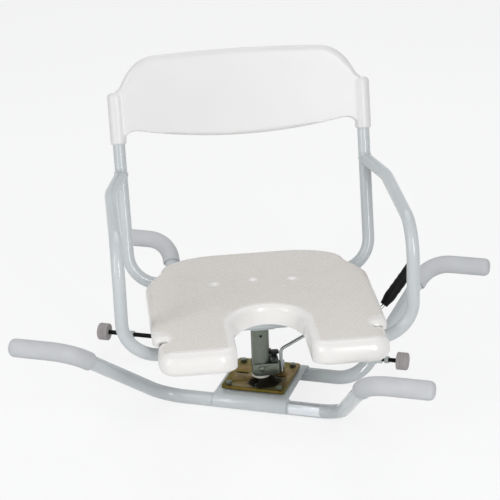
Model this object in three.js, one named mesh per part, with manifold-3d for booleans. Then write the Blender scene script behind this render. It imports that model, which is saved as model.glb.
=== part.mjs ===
// Swivel bath seat: a moulded seat and backrest on a bent tube frame, turning on a post
// that stands on two tube bearers laid across a bath. Millimetres, +Z up, +X across the bath.
// The origin is under the swivel post, on the level of the underside of the low bearers.
import * as THREE from 'three';
import { mergeVertices } from 'three/addons/utils/BufferGeometryUtils.js';
import Module from 'manifold-3d';

const wasm = await Module();
wasm.setup();

// Fits: the gap left between pieces that touch, and the overrun of a cut past what it cuts.
const clearance = 0.3;
const overrun = 2;

// Base: two bent steel tubes with soft sleeves on their raised ends.
const overallWidth = 730;
const baseTubeDiameter = 25;
const baseTubeWall = 2;
const bearerSpread = 132;
const lowRunLength = 322;
const raisedEndLength = 111;
const raisedEndSpread = 500;
const raisedEndHeight = 159;
const baseBendRadius = 58;
const sleeveDiameter = 32;
const sleeveDomeLength = 11;
const sleeveEndWall = 5;
const sleevePastBend = 9;

// Pan and lock plate that join the two bearers.
const panLength = 134;
const panSheet = 3;
const panWrapDegrees = 112;
const lockPlateThickness = 5.5;
const lockPlateCorner = 5;
const plateSpacerHeight = 3;
const plateSpacerDiameter = 18;
const plateBoltToTube = 7.5;
const plateBoltEdge = 11.5;
const plateBoltDiameter = 6;
const plateBoltLength = 25;
const plateBoltHex = 10;
const plateBoltHeadHeight = 4;
const plateNutHeight = 5;
const slotCount = 4;
const slotInnerRadius = 23;
const slotOuterRadius = 46;
const slotWidth = 5;

// Swivel: a fixed spindle, two bushes, and the post that turns on it.
const seatTurnDegrees = 22.75;
const spindleDiameter = 20;
const spindleFootDiameter = 44;
const spindleLength = 102;
const thrustRingDiameter = 34;
const thrustRingHeight = 4;
const postDiameter = 32;
const postWall = 2.5;
const bushLength = 18;
const retainingWasherHeight = 2.5;
const retainingScrewDiameter = 8;
const retainingScrewDepth = 16;
const hexAcrossFlats = 13;
const hexHeadHeight = 5.3;
const sightHoleDiameter = 5;
const sightHoleHeight = 120;
const headPlateWidth = 46;
const headPlateThickness = 5;
const headPlateOverhang = 14;
const headPlateCorner = 8;
const headHoleDiameter = 20;

// Seat frame: two hoops of one tube size, welded together where the arms meet the back.
const frameTubeDiameter = 22;
const frameTubeWall = 1.8;
const crossbarHeight = 171.6;
const backTubeSpread = 438;
const backCrossbarY = 128.5;
const backLeanDegrees = 16.8;
const backSplayDegrees = 0.6;
const backTubeRise = 338;
const backBendRadius = 58;
const frontCrossbarY = -70;
const frontCrossbarHalf = 92;
const armLegY = -163;
const armCrankX = 150;
const armCrankRadius = 40;
const armSpread = 488;
const armHeight = 365.5;
const armBendRadius = 62;
const armElbowY = 90;
const armElbowRadius = 110;

// Moulded seat.
const seatTop = 216;
const seatUnderside = 177;
const seatHalfWidth = 196;
const seatRearY = 143;
const seatRearFlatHalf = 60;
const rearShoulderInset = 31;
const rearShoulderY = 88;
const sideStartY = 18;
const sideEndY = -179;
const sideNubRadius = 18;
const notchY = -201;
const notchLength = 22;
const notchHalfWidth = 4;
const lobeInset = 6;
const lobeShoulderY = -230;
const seatFrontY = -272;
const lobeCornerRadius = 30;
const cutoutHalfWidth = 61;
const cutoutCentreY = -160;
const sideRoll = 10;
const lipRoll = 19;
const lipLowerRoll = 15;
const archRoll = 11;
const seatEdgeChamfer = 3;
const rimThickness = 16;
const rimWidth = 34;
const rimDraft = 5;
const dimpleSpacing = 68;
const dimpleX = -7;
const dimpleY = 7;
const dimpleRise = 7;
const dimpleRadius = 9;
const dimpleDepth = 1.6;

// Moulded backrest, measured along the back tubes from the crossbar's centre.
const socketDiameter = 29;
const socketStart = 256;
const socketEnd = 349;
const backTop = 415;
const backTopHalf = 150;
const backTopCorner = 411;
const backShoulder = 358;
const backLowerMiddle = 260;
const backLowerCorner = 278;
const backPanelHalf = 213;
const backPanelThickness = 22;
const backEdgeRoll = 7;
const backTopRoll = 14;
const backEdgeDepth = 9;
const backRollRise = 30;
const backNotchWidth = 27;

// Screws that hold the mouldings.
const mouldingScrewDiameter = 5;
const mouldingScrewHead = 10;
const mouldingScrewHeadHeight = 3;
const seatScrewGrip = 12;
const frontSeatScrewX = 58;
const rearSeatScrewX = 96;
const backScrewHeight = 300;
const backScrewLength = 9;

// Lock lever on the post.
const yokeSheet = 3;
const yokeHeight = 22;
const yokeUnderside = 44;
const yokeTailLength = 16;
const yokeNoseX = 32;
const yokeCorner = 5;
const cheekCorner = 8;
const springTabLength = 13;
const springTabWidth = 18;
const yokePivotHeight = 57;
const yokeScrewDiameter = 6;
const yokeScrewHead = 11;
const yokeScrewHeadHeight = 3.5;
const tongueLength = 10;
const tongueThickness = 3.8;
const tongueHeight = 25;
const leverRodDiameter = 6;
const leverRodY = -12;
const leverRodBend = 10;
const leverElbowHeight = 90;
const leverKneeX = 80;
const leverKneeY = 0;
const leverKneeHeight = 107.5;
const leverKneeRadius = 40;
const leverReachX = 225;
const leverReachY = 45;
const leverReachHeight = 127.5;
const leverWristRadius = 20;
const leverGripRiseDegrees = 45;
const leverGripSwingDegrees = 23.5;
const leverGripStart = 8;
const leverGripDiameter = 21;
const leverGripNeck = 15;
const leverGripLength = 98;
const leverGripBore = 60;
const springRadius = 5.2;
const springWire = 1.6;
const springTurns = 3;
const springHeight = 12;
const springX = 24;
const springSteps = 8;
const springSides = 5;
const keeperSheet = 3;
const keeperWidth = 16;
const keeperFoot = 12;
const keeperNose = 33;

// Side stoppers: rubber pads on threaded rods through the rear bearer.
const stopperY = 99;
const stopperRodDiameter = 8.5;
const stopperRodLength = 160;
const stopperBossDiameter = 16;
const stopperBossLength = 42;
const stopperCapDiameter = 32;
const stopperCapLength = 20;
const stopperCapRoll = 3;
const stopperCapSocket = 13;
const stopperCapLip = 1.5;
const stopperNutThickness = 8;
const leftPadReach = 168.3;
const rightPadReach = 68.3;
const leftNutReach = 98.3;
const rightNutReach = 25.3;

// Facets: sides of a round piece, and the most that a bend turns from ring to ring.
const tubeSides = 12;
const roundSides = 20;
const smallSides = 10;
const bendStepDegrees = 17.5;

const radians = THREE.MathUtils.degToRad;
const baseTubeRadius = baseTubeDiameter / 2;
const frameTubeRadius = frameTubeDiameter / 2;
const postRadius = postDiameter / 2;
const postBoreRadius = postRadius - postWall;

function finish(color, roughness, metalness) {
  return new THREE.MeshStandardMaterial({ color, roughness, metalness });
}
const powderCoat = finish(0xd5dbdd, 0.35, 0);
const mouldedPlastic = finish(0xe6e2dd, 0.5, 0);
const softSleeve = finish(0xc9c8cc, 0.75, 0);
const yellowZinc = finish(0x7a6a35, 0.45, 0.8);
const clearZinc = finish(0xa9adb0, 0.35, 0.9);
const dullZinc = finish(0x8b8f84, 0.5, 0.8);
const blackPlastic = finish(0x17181a, 0.5, 0);
const greyRubber = finish(0xa9a3a3, 0.8, 0);
const blackSteel = finish(0x2a2b2d, 0.45, 0.7);
const bushPlastic = finish(0xe9e7df, 0.5, 0);

// A closed geometry with shared corners and no empty triangles.
function closed(source) {
  const bare = source.clone();
  bare.deleteAttribute('normal');
  bare.deleteAttribute('uv');
  const merged = mergeVertices(bare);
  const corners = merged.index.array;
  const kept = [];
  for (let i = 0; i < corners.length; i += 3) {
    const [a, b, c] = [corners[i], corners[i + 1], corners[i + 2]];
    if (a !== b && b !== c && c !== a) kept.push(a, b, c);
  }
  merged.setIndex(kept);
  return merged;
}

function solidOf(geometry) {
  const mesh = closed(geometry);
  return new wasm.Manifold(new wasm.Mesh({
    numProp: 3,
    vertProperties: new Float32Array(mesh.attributes.position.array),
    triVerts: new Uint32Array(mesh.index.array),
  }));
}

function geometryOf(solid) {
  const mesh = solid.getMesh();
  const geometry = new THREE.BufferGeometry();
  geometry.setAttribute('position', new THREE.BufferAttribute(mesh.vertProperties, 3));
  geometry.setIndex(new THREE.BufferAttribute(mesh.triVerts, 1));
  return geometry;
}

function cut(body, tools) {
  return geometryOf(tools.reduce((solid, tool) => solid.subtract(solidOf(tool)), solidOf(body)));
}

function common(first, second) {
  return geometryOf(solidOf(first).intersect(solidOf(second)));
}

function join(bodies) {
  return geometryOf(bodies.map(solidOf).reduce((sum, solid) => sum.add(solid)));
}

// A regular polygon on a circle, as the section of a tube or bar.
function roundSection(radius, sides) {
  const points = [];
  for (let i = 0; i < sides; i++) {
    const angle = (2 * Math.PI * (i + 0.5)) / sides;
    points.push(new THREE.Vector2(radius * Math.cos(angle), radius * Math.sin(angle)));
  }
  return new THREE.Shape(points);
}

// The radius whose polygon clears a round piece of this radius all round.
function bored(radius, sides) {
  return (radius + clearance) / Math.cos(Math.PI / sides);
}

// A centre line given ring by ring, so that straight runs need no rings between their ends.
class StationPath extends THREE.Curve {
  constructor(stations = []) {
    super();
    this.stations = stations;
  }

  stationAt(share) {
    return this.stations[Math.round(share * (this.stations.length - 1))];
  }

  getPoint(share, target = new THREE.Vector3()) {
    return target.copy(this.stationAt(share).point);
  }

  getPointAt(share, target) {
    return this.getPoint(share, target);
  }

  getTangentAt(share, target = new THREE.Vector3()) {
    return target.copy(this.stationAt(share).tangent);
  }
}

// Straight runs joined by true arcs, as a tube bender makes them.
class BentPath extends StationPath {
  constructor(corners, bendRadii, firstStops = []) {
    super();
    const add = (point, tangent) => this.stations.push({ point, tangent });
    const start = new THREE.Vector3().subVectors(corners[1], corners[0]).normalize();
    add(corners[0].clone(), start);
    for (const stop of firstStops) add(corners[0].clone().addScaledVector(start, stop), start);
    for (let i = 1; i < corners.length - 1; i++) {
      const into = new THREE.Vector3().subVectors(corners[i], corners[i - 1]).normalize();
      const out = new THREE.Vector3().subVectors(corners[i + 1], corners[i]).normalize();
      const turn = into.angleTo(out);
      const radius = Array.isArray(bendRadii) ? bendRadii[i - 1] : bendRadii;
      const inward = out.clone().addScaledVector(into, -into.dot(out)).normalize();
      const bendStart = corners[i].clone().addScaledVector(into, -radius * Math.tan(turn / 2));
      const steps = Math.max(1, Math.ceil(turn / radians(bendStepDegrees)));
      for (let k = 0; k <= steps; k++) {
        const angle = (turn * k) / steps;
        const point = bendStart.clone();
        point.addScaledVector(into, radius * Math.sin(angle));
        point.addScaledVector(inward, radius * (1 - Math.cos(angle)));
        const tangent = into.clone().multiplyScalar(Math.cos(angle));
        add(point, tangent.addScaledVector(inward, Math.sin(angle)));
      }
    }
    const [end, beforeEnd] = [corners[corners.length - 1], corners[corners.length - 2]];
    add(end.clone(), new THREE.Vector3().subVectors(end, beforeEnd).normalize());
  }
}

function tube(path, radius, sides = tubeSides) {
  return new THREE.ExtrudeGeometry(roundSection(radius, sides), {
    steps: path.stations.length - 1,
    extrudePath: path,
  });
}

// A skin over a row of rings with the same number of points, closed at both ends.
function loft(rings) {
  const count = rings[0].length;
  const positions = rings.flat().flatMap((point) => [point.x, point.y, point.z]);
  const faces = [];
  for (let row = 0; row < rings.length - 1; row++) {
    for (let i = 0; i < count; i++) {
      const a = row * count + i;
      const b = row * count + ((i + 1) % count);
      faces.push(a, b, b + count, a, b + count, a + count);
    }
  }
  const capped = (ring, first, flip) => {
    const normal = new THREE.Vector3();
    ring.forEach((point, i) => normal.add(new THREE.Vector3().crossVectors(point, ring[(i + 1) % count])));
    const turn = new THREE.Quaternion().setFromUnitVectors(normal.normalize(), new THREE.Vector3(0, 0, 1));
    const flat = ring.map((point) => point.clone().applyQuaternion(turn));
    const outline = flat.map((point) => new THREE.Vector2(point.x, point.y));
    for (const [a, b, c] of THREE.ShapeUtils.triangulateShape(outline, [])) {
      const area = THREE.ShapeUtils.area([outline[a], outline[b], outline[c]]);
      const ahead = area > 0 ? [a, b, c] : [a, c, b];
      faces.push(...(flip ? ahead.reverse() : ahead).map((corner) => corner + first));
    }
  };
  capped(rings[0], 0, true);
  capped(rings[rings.length - 1], (rings.length - 1) * count, false);
  const geometry = new THREE.BufferGeometry();
  geometry.setAttribute('position', new THREE.Float32BufferAttribute(positions, 3));
  geometry.setIndex(faces);
  return geometry;
}

// Rings of changing radius along a bent path.
function sweptRings(path, radii, sides) {
  const frames = path.computeFrenetFrames(path.stations.length - 1, false);
  return path.stations.map((station, row) => {
    const ring = [];
    for (let i = 0; i < sides; i++) {
      const angle = (2 * Math.PI * (i + 0.5)) / sides;
      const point = station.point.clone();
      point.addScaledVector(frames.normals[row], radii[row] * Math.cos(angle));
      ring.push(point.addScaledVector(frames.binormals[row], radii[row] * Math.sin(angle)));
    }
    return ring;
  });
}

// A turned piece about the Z axis from [radius, height] pairs.
function turned(profile, sides = roundSides) {
  const points = profile.map(([radius, height]) => new THREE.Vector2(radius, height));
  return new THREE.LatheGeometry(points, sides).rotateX(Math.PI / 2);
}

// A washer, ring or bush with square edges.
function ring(outerRadius, innerRadius, bottom, top, sides = roundSides) {
  const profile = [[innerRadius, bottom], [outerRadius, bottom], [outerRadius, top], [innerRadius, top]];
  return turned([...profile, profile[0]], sides);
}

function rod(radius, bottom, top, sides = smallSides) {
  return turned([[0, bottom], [radius, bottom], [radius, top], [0, top]], sides);
}

function upright(shape, bottom, height) {
  return new THREE.ExtrudeGeometry(shape, { depth: height, bevelEnabled: false }).translate(0, 0, bottom);
}

function hexShape(acrossFlats) {
  const radius = acrossFlats / 2 / Math.cos(Math.PI / 6);
  const points = [];
  for (let i = 0; i < 6; i++) {
    const angle = (i * Math.PI) / 3;
    points.push(new THREE.Vector2(radius * Math.cos(angle), radius * Math.sin(angle)));
  }
  return new THREE.Shape(points);
}

function roundedRectangle(width, depth, corner) {
  const [x, y] = [width / 2, depth / 2];
  const shape = new THREE.Shape();
  shape.moveTo(x, y - corner);
  shape.absarc(x - corner, y - corner, corner, 0, Math.PI / 2);
  shape.absarc(corner - x, y - corner, corner, Math.PI / 2, Math.PI);
  shape.absarc(corner - x, corner - y, corner, Math.PI, (3 * Math.PI) / 2);
  shape.absarc(x - corner, corner - y, corner, (3 * Math.PI) / 2, 2 * Math.PI);
  return shape;
}

function add(group, name, geometry, material) {
  const piece = new THREE.Mesh(closed(geometry), material);
  piece.name = name;
  piece.geometry.computeVertexNormals();
  group.add(piece);
  return piece;
}

const bathSeat = new THREE.Group();
const sides = [['left', -1], ['right', 1]];
const ends = [['front', -1], ['rear', 1]];

// Bearers: each tube runs low across the middle, then climbs and spreads to its raised ends.
const lowRunY = bearerSpread / 2;
const lowCornerX = lowRunLength / 2;
const raisedCornerX = overallWidth / 2 - raisedEndLength;
const raisedY = raisedEndSpread / 2;
const raisedZ = baseTubeRadius + raisedEndHeight;

function bearerCorners(sideY) {
  const half = [
    new THREE.Vector3(lowCornerX, sideY * lowRunY, baseTubeRadius),
    new THREE.Vector3(raisedCornerX, sideY * raisedY, raisedZ),
    new THREE.Vector3(overallWidth / 2 - sleeveEndWall, sideY * raisedY, raisedZ),
  ];
  const mirrored = half.map((point) => new THREE.Vector3(-point.x, point.y, point.z));
  return [...mirrored.reverse(), ...half];
}

// The stoppers' rods cross the rear bearer where its rises pass this depth.
const riseShare = (stopperY - lowRunY) / (raisedY - lowRunY);
const stopperBossX = THREE.MathUtils.lerp(lowCornerX, raisedCornerX, riseShare);
const stopperZ = THREE.MathUtils.lerp(baseTubeRadius, raisedZ, riseShare);

function alongX(geometry) {
  return geometry.rotateY(Math.PI / 2);
}

function tubeEndBores(path, radius, wall, depth) {
  return [path.stations[0], path.stations[path.stations.length - 1]].map(({ point, tangent }, end) => {
    const inward = tangent.clone().multiplyScalar(end === 0 ? 1 : -1);
    const from = point.clone().addScaledVector(inward, -overrun);
    const to = point.clone().addScaledVector(inward, depth);
    return tube(new BentPath([from, to], 0), radius - wall, smallSides);
  });
}

function buildBearers() {
  for (const [name, sideY] of ends) {
    const path = new BentPath(bearerCorners(sideY), baseBendRadius);
    const bores = tubeEndBores(path, baseTubeRadius, baseTubeWall, raisedEndLength / 2);
    let body = tube(path, baseTubeRadius);
    if (name === 'rear') {
      for (const [, sideX] of sides) {
        const place = [sideX * stopperBossX, stopperY, stopperZ];
        const half = stopperBossLength / 2;
        const boss = alongX(rod(stopperBossDiameter / 2, -half, half)).translate(...place);
        const bore = bored(stopperRodDiameter / 2, smallSides);
        body = join([body, boss]);
        bores.push(alongX(rod(bore, -half - overrun, half + overrun)).translate(...place));
      }
    }
    add(bathSeat, `bearer_tube_${name}`, cut(body, bores), powderCoat);
  }
}

// Sleeves: soft closed caps pulled over the raised ends and round the upper bends.
function buildSleeves() {
  const radius = sleeveDiameter / 2;
  const domeSteps = 3;
  for (const [endName, sideY] of ends) {
    for (const [sideName, sideX] of sides) {
      const low = new THREE.Vector3(sideX * lowCornerX, sideY * lowRunY, baseTubeRadius);
      const corner = new THREE.Vector3(sideX * raisedCornerX, sideY * raisedY, raisedZ);
      const tip = new THREE.Vector3((sideX * overallWidth) / 2, sideY * raisedY, raisedZ);
      const down = low.clone().sub(corner).normalize();
      const turn = down.angleTo(new THREE.Vector3(sideX, 0, 0));
      const bendTangent = baseBendRadius / Math.tan(turn / 2);
      const lip = corner.clone().addScaledVector(down, bendTangent + sleevePastBend);
      const stops = [];
      const radii = [];
      for (let k = 0; k <= domeSteps; k++) {
        const angle = (Math.PI / 2) * (k / domeSteps);
        stops.push(sleeveDomeLength * (1 - Math.cos(angle)));
        radii.push(radius * Math.sqrt(Math.sin(angle)));
      }
      radii[0] = radius / 3;
      const path = new BentPath([tip, corner, lip], baseBendRadius, stops.slice(1));
      while (radii.length < path.stations.length) radii.push(radius);
      const outside = loft(sweptRings(path, radii, tubeSides));
      const boreStart = tip.clone();
      boreStart.x -= sideX * (sleeveEndWall - clearance);
      const boreEnd = lip.clone().addScaledVector(down, overrun);
      const bore = new BentPath([boreStart, corner, boreEnd], baseBendRadius);
      const inside = tube(bore, bored(baseTubeRadius, tubeSides));
      add(bathSeat, `grip_sleeve_${endName}_${sideName}`, cut(outside, [inside]), softSleeve);
    }
  }
}

// Pan: one folded sheet over both bearers. The lock plate stands on it on four spacers.
const panUnderside = baseTubeDiameter + clearance;
const panTop = panUnderside + panSheet;
const spacerBottom = panTop + clearance;
const spacerTop = spacerBottom + plateSpacerHeight;
const plateBottom = spacerTop + clearance;
const plateTop = plateBottom + lockPlateThickness;
const plateBoltSpacing = bearerSpread - baseTubeDiameter - 2 * plateBoltToTube;
const lockPlateSide = plateBoltSpacing + 2 * plateBoltEdge;
const boltPlaces = ends.flatMap(([endName, sideY]) => sides.map(([sideName, sideX]) => ({
  name: `${endName}_${sideName}`,
  x: (sideX * plateBoltSpacing) / 2,
  y: (sideY * plateBoltSpacing) / 2,
})));

function buildPan() {
  const inner = baseTubeRadius + clearance;
  const outer = inner + panSheet;
  const wrap = radians(panWrapDegrees);
  const top = Math.PI / 2;
  const profile = new THREE.Shape();
  profile.moveTo(lowRunY, baseTubeRadius + outer);
  profile.absarc(lowRunY, baseTubeRadius, outer, top, top - wrap, true);
  profile.absarc(lowRunY, baseTubeRadius, inner, top - wrap, top, false);
  profile.absarc(-lowRunY, baseTubeRadius, inner, top, top + wrap, false);
  profile.absarc(-lowRunY, baseTubeRadius, outer, top + wrap, top, true);
  const sheet = new THREE.ExtrudeGeometry(profile, {
    depth: panLength, bevelEnabled: false, curveSegments: 6,
  });
  sheet.translate(0, 0, -panLength / 2).rotateX(Math.PI / 2).rotateZ(Math.PI / 2);
  const hole = bored(plateBoltDiameter / 2, smallSides);
  const holes = boltPlaces.map(({ x, y }) => {
    return rod(hole, panUnderside - overrun, panTop + overrun).translate(x, y, 0);
  });
  add(bathSeat, 'bearer_pan', cut(sheet, holes), powderCoat);
}

function slotShape() {
  const shape = new THREE.Shape();
  const half = slotWidth / 2;
  shape.moveTo(slotInnerRadius + half, -half);
  shape.absarc(slotOuterRadius - half, 0, half, -Math.PI / 2, Math.PI / 2, false);
  shape.absarc(slotInnerRadius + half, 0, half, Math.PI / 2, (3 * Math.PI) / 2, false);
  return shape;
}

function buildLockPlate() {
  const outline = roundedRectangle(lockPlateSide, lockPlateSide, lockPlateCorner);
  const plate = new THREE.ExtrudeGeometry(outline, {
    depth: lockPlateThickness, bevelEnabled: false, curveSegments: 3,
  }).translate(0, 0, plateBottom);
  const through = [plateBottom - overrun, plateTop + overrun];
  const cuts = [rod(bored(spindleDiameter / 2, roundSides), ...through, roundSides)];
  for (const { x, y } of boltPlaces) {
    cuts.push(rod(bored(plateBoltDiameter / 2, smallSides), ...through).translate(x, y, 0));
  }
  for (let i = 0; i < slotCount; i++) {
    const depth = lockPlateThickness + 2 * overrun;
    const slot = new THREE.ExtrudeGeometry(slotShape(), { depth, bevelEnabled: false, curveSegments: 3 });
    cuts.push(slot.translate(0, 0, plateBottom - overrun).rotateZ((2 * Math.PI * i) / slotCount));
  }
  add(bathSeat, 'lock_plate', cut(plate, cuts), yellowZinc);
}

function buildPlateFixings() {
  const headBottom = plateTop + clearance;
  const hole = bored(plateBoltDiameter / 2, smallSides);
  for (const { name, x, y } of boltPlaces) {
    const head = upright(hexShape(plateBoltHex), headBottom, plateBoltHeadHeight);
    const shankTop = headBottom + plateBoltHeadHeight / 2;
    const shank = rod(plateBoltDiameter / 2, headBottom - plateBoltLength, shankTop);
    add(bathSeat, `plate_bolt_${name}`, join([head, shank]).translate(x, y, 0), clearZinc);
    const spacer = ring(plateSpacerDiameter / 2, hole, spacerBottom, spacerTop, smallSides);
    add(bathSeat, `plate_spacer_${name}`, spacer.translate(x, y, 0), clearZinc);
    const nutTop = panUnderside - clearance;
    const nut = upright(hexShape(plateBoltHex), nutTop - plateNutHeight, plateNutHeight);
    const thread = rod(hole, nutTop - plateNutHeight - overrun, nutTop + overrun);
    const flatsOut = cut(nut, [thread]).rotateZ(Math.PI / 2);
    add(bathSeat, `plate_nut_${name}`, flatsOut.translate(x, y, 0), clearZinc);
  }
}

// Spindle: clamped by its foot under the lock plate. The ring on the plate carries the post.
const spindleTop = spacerBottom + spindleLength;
const ringBottom = plateTop + clearance;
const ringTop = ringBottom + thrustRingHeight;
const postBottom = ringTop + clearance;
const headPlateTop = crossbarHeight - frameTubeRadius - clearance;
const headPlateBottom = headPlateTop - headPlateThickness;
const postTop = headPlateBottom - clearance;

function buildSpindle() {
  const radius = spindleDiameter / 2;
  const foot = spindleFootDiameter / 2;
  const bar = turned([
    [0, spacerBottom], [foot, spacerBottom], [foot, spacerTop], [radius, spacerTop],
    [radius, spindleTop], [0, spindleTop],
  ]);
  const thread = bored(retainingScrewDiameter / 2, smallSides);
  const hole = rod(thread, spindleTop - retainingScrewDepth - overrun, spindleTop + overrun);
  add(bathSeat, 'spindle', cut(bar, [hole]), clearZinc);
  const bore = bored(radius, roundSides);
  const thrust = ring(thrustRingDiameter / 2, bore, ringBottom, ringTop);
  add(bathSeat, 'thrust_ring', thrust, clearZinc);
  const washerBottom = spindleTop + clearance;
  const washerTop = washerBottom + retainingWasherHeight;
  const washerRadius = postBoreRadius - 2 * clearance;
  add(bathSeat, 'retaining_washer', ring(washerRadius, thread, washerBottom, washerTop), clearZinc);
  const headBottom = washerTop + clearance;
  const head = upright(hexShape(hexAcrossFlats), headBottom, hexHeadHeight);
  const tip = spindleTop - retainingScrewDepth;
  const shank = rod(retainingScrewDiameter / 2, tip, headBottom + hexHeadHeight / 2);
  add(bathSeat, 'retaining_screw', join([head, shank]), clearZinc);
}

// Everything from here on turns with the seat.
const turntable = new THREE.Group();
turntable.rotation.z = radians(seatTurnDegrees);
bathSeat.add(turntable);

function buildPost() {
  const tubeBody = ring(postRadius, postBoreRadius, postBottom, postTop);
  const across = (radius, from, to, height) => {
    return rod(radius, from, to).rotateX(Math.PI / 2).translate(0, 0, height);
  };
  const screwHole = bored(yokeScrewDiameter / 2, smallSides);
  const reach = postRadius + overrun;
  const sight = across(sightHoleDiameter / 2, 0, reach, sightHoleHeight);
  const screws = across(screwHole, -reach, reach, yokePivotHeight);
  add(turntable, 'swivel_post', cut(tubeBody, [sight, screws]), dullZinc);
  const bushOuter = (postBoreRadius - clearance) * Math.cos(Math.PI / roundSides);
  const bushBore = bored(spindleDiameter / 2, roundSides);
  for (const [name, bottom] of [['lower', postBottom], ['upper', spindleTop - bushLength]]) {
    add(turntable, `bush_${name}`, ring(bushOuter, bushBore, bottom, bottom + bushLength), bushPlastic);
  }
}

function buildHeadPlate() {
  const front = frontCrossbarY - headPlateOverhang;
  const rear = backCrossbarY + headPlateOverhang;
  const outline = roundedRectangle(headPlateWidth, rear - front, headPlateCorner);
  const plate = new THREE.ExtrudeGeometry(outline, {
    depth: headPlateThickness, bevelEnabled: false, curveSegments: 4,
  }).translate(0, (front + rear) / 2, headPlateBottom);
  const hole = rod(headHoleDiameter / 2, headPlateBottom - overrun, headPlateTop + overrun, roundSides);
  add(turntable, 'head_plate', cut(plate, [hole]), powderCoat);
}

// Seat frame: the rear hoop carries the back, the front hoop carries the arms.
const backSide = backTubeSpread / 2;
const lean = radians(backLeanDegrees);
const splay = radians(backSplayDegrees);

function backTubePoint(sideX, along) {
  return new THREE.Vector3(
    sideX * (backSide + along * Math.tan(splay)),
    backCrossbarY + along * Math.sin(lean),
    crossbarHeight + along * Math.cos(lean),
  );
}

const rearHoopPath = new BentPath([
  backTubePoint(-1, backTubeRise),
  backTubePoint(-1, 0),
  backTubePoint(1, 0),
  backTubePoint(1, backTubeRise),
], backBendRadius);

const armX = armSpread / 2;
const armJoint = (armHeight - crossbarHeight) / Math.cos(lean);
const armHalf = [
  new THREE.Vector3(frontCrossbarHalf, frontCrossbarY, crossbarHeight),
  new THREE.Vector3(armCrankX, armLegY, crossbarHeight),
  new THREE.Vector3(armX, armLegY, crossbarHeight),
  new THREE.Vector3(armX, armLegY, armHeight),
  new THREE.Vector3(armX, armElbowY, armHeight),
  backTubePoint(1, armJoint),
];
const armOtherHalf = armHalf.map((point) => new THREE.Vector3(-point.x, point.y, point.z)).reverse();
const armRadii = [armCrankRadius, armCrankRadius, armBendRadius, armBendRadius, armElbowRadius];
const armOtherRadii = armRadii.slice().reverse();
const frontHoopPath = new BentPath([...armOtherHalf, ...armHalf], [...armOtherRadii, ...armRadii]);

const seatScrews = [
  { name: 'front_left', x: -frontSeatScrewX, y: frontCrossbarY },
  { name: 'front_right', x: frontSeatScrewX, y: frontCrossbarY },
  { name: 'rear_left', x: -rearSeatScrewX, y: backCrossbarY },
  { name: 'rear_right', x: rearSeatScrewX, y: backCrossbarY },
];
const screwTop = seatUnderside + seatScrewGrip;

function seatScrewHoles(bottom, top, end) {
  const hole = bored(mouldingScrewDiameter / 2, smallSides);
  return seatScrews.filter(({ name }) => name.startsWith(end))
    .map(({ x, y }) => rod(hole, bottom, top).translate(x, y, 0));
}

// The backrest stands upright in the plane of the back tubes and leans with them.
const backFrame = new THREE.Group();
backFrame.position.set(0, backCrossbarY, crossbarHeight);
backFrame.rotation.x = -lean;
backFrame.updateMatrix();
turntable.add(backFrame);

function socketCentre(along) {
  return backSide + along * Math.tan(splay);
}

// A round bar square to the backrest, from one depth behind the back tube's centre to another.
function backScrewBar(sideX, radius, from, to) {
  const bar = rod(radius, -to, -from).rotateX(Math.PI / 2);
  return bar.translate(sideX * socketCentre(backScrewHeight), 0, backScrewHeight);
}

function buildHoops() {
  const low = crossbarHeight - frameTubeDiameter;
  const high = crossbarHeight + frameTubeDiameter;
  const rear = tube(rearHoopPath, frameTubeRadius);
  const socketDepth = socketEnd - socketStart;
  const rearCuts = tubeEndBores(rearHoopPath, frameTubeRadius, frameTubeWall, socketDepth);
  for (const [, sideX] of sides) {
    const hole = backScrewBar(sideX, bored(mouldingScrewDiameter / 2, smallSides), 0, frameTubeDiameter);
    rearCuts.push(hole.applyMatrix4(backFrame.matrix));
  }
  const notch = tube(rearHoopPath, bored(frameTubeRadius, tubeSides));
  add(turntable, 'rear_hoop', cut(rear, [...rearCuts, ...seatScrewHoles(low, high, 'rear')]), powderCoat);
  const front = cut(tube(frontHoopPath, frameTubeRadius), [notch, ...seatScrewHoles(low, high, 'front')]);
  add(turntable, 'front_hoop', front, powderCoat);
}

// Seat moulding: the outline's right half, from the middle of the rear edge to the cut-out.
const rearShoulderX = seatHalfWidth - rearShoulderInset;
const notchInnerX = seatHalfWidth - notchLength;
const lobeHalfWidth = seatHalfWidth - lobeInset;

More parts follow.
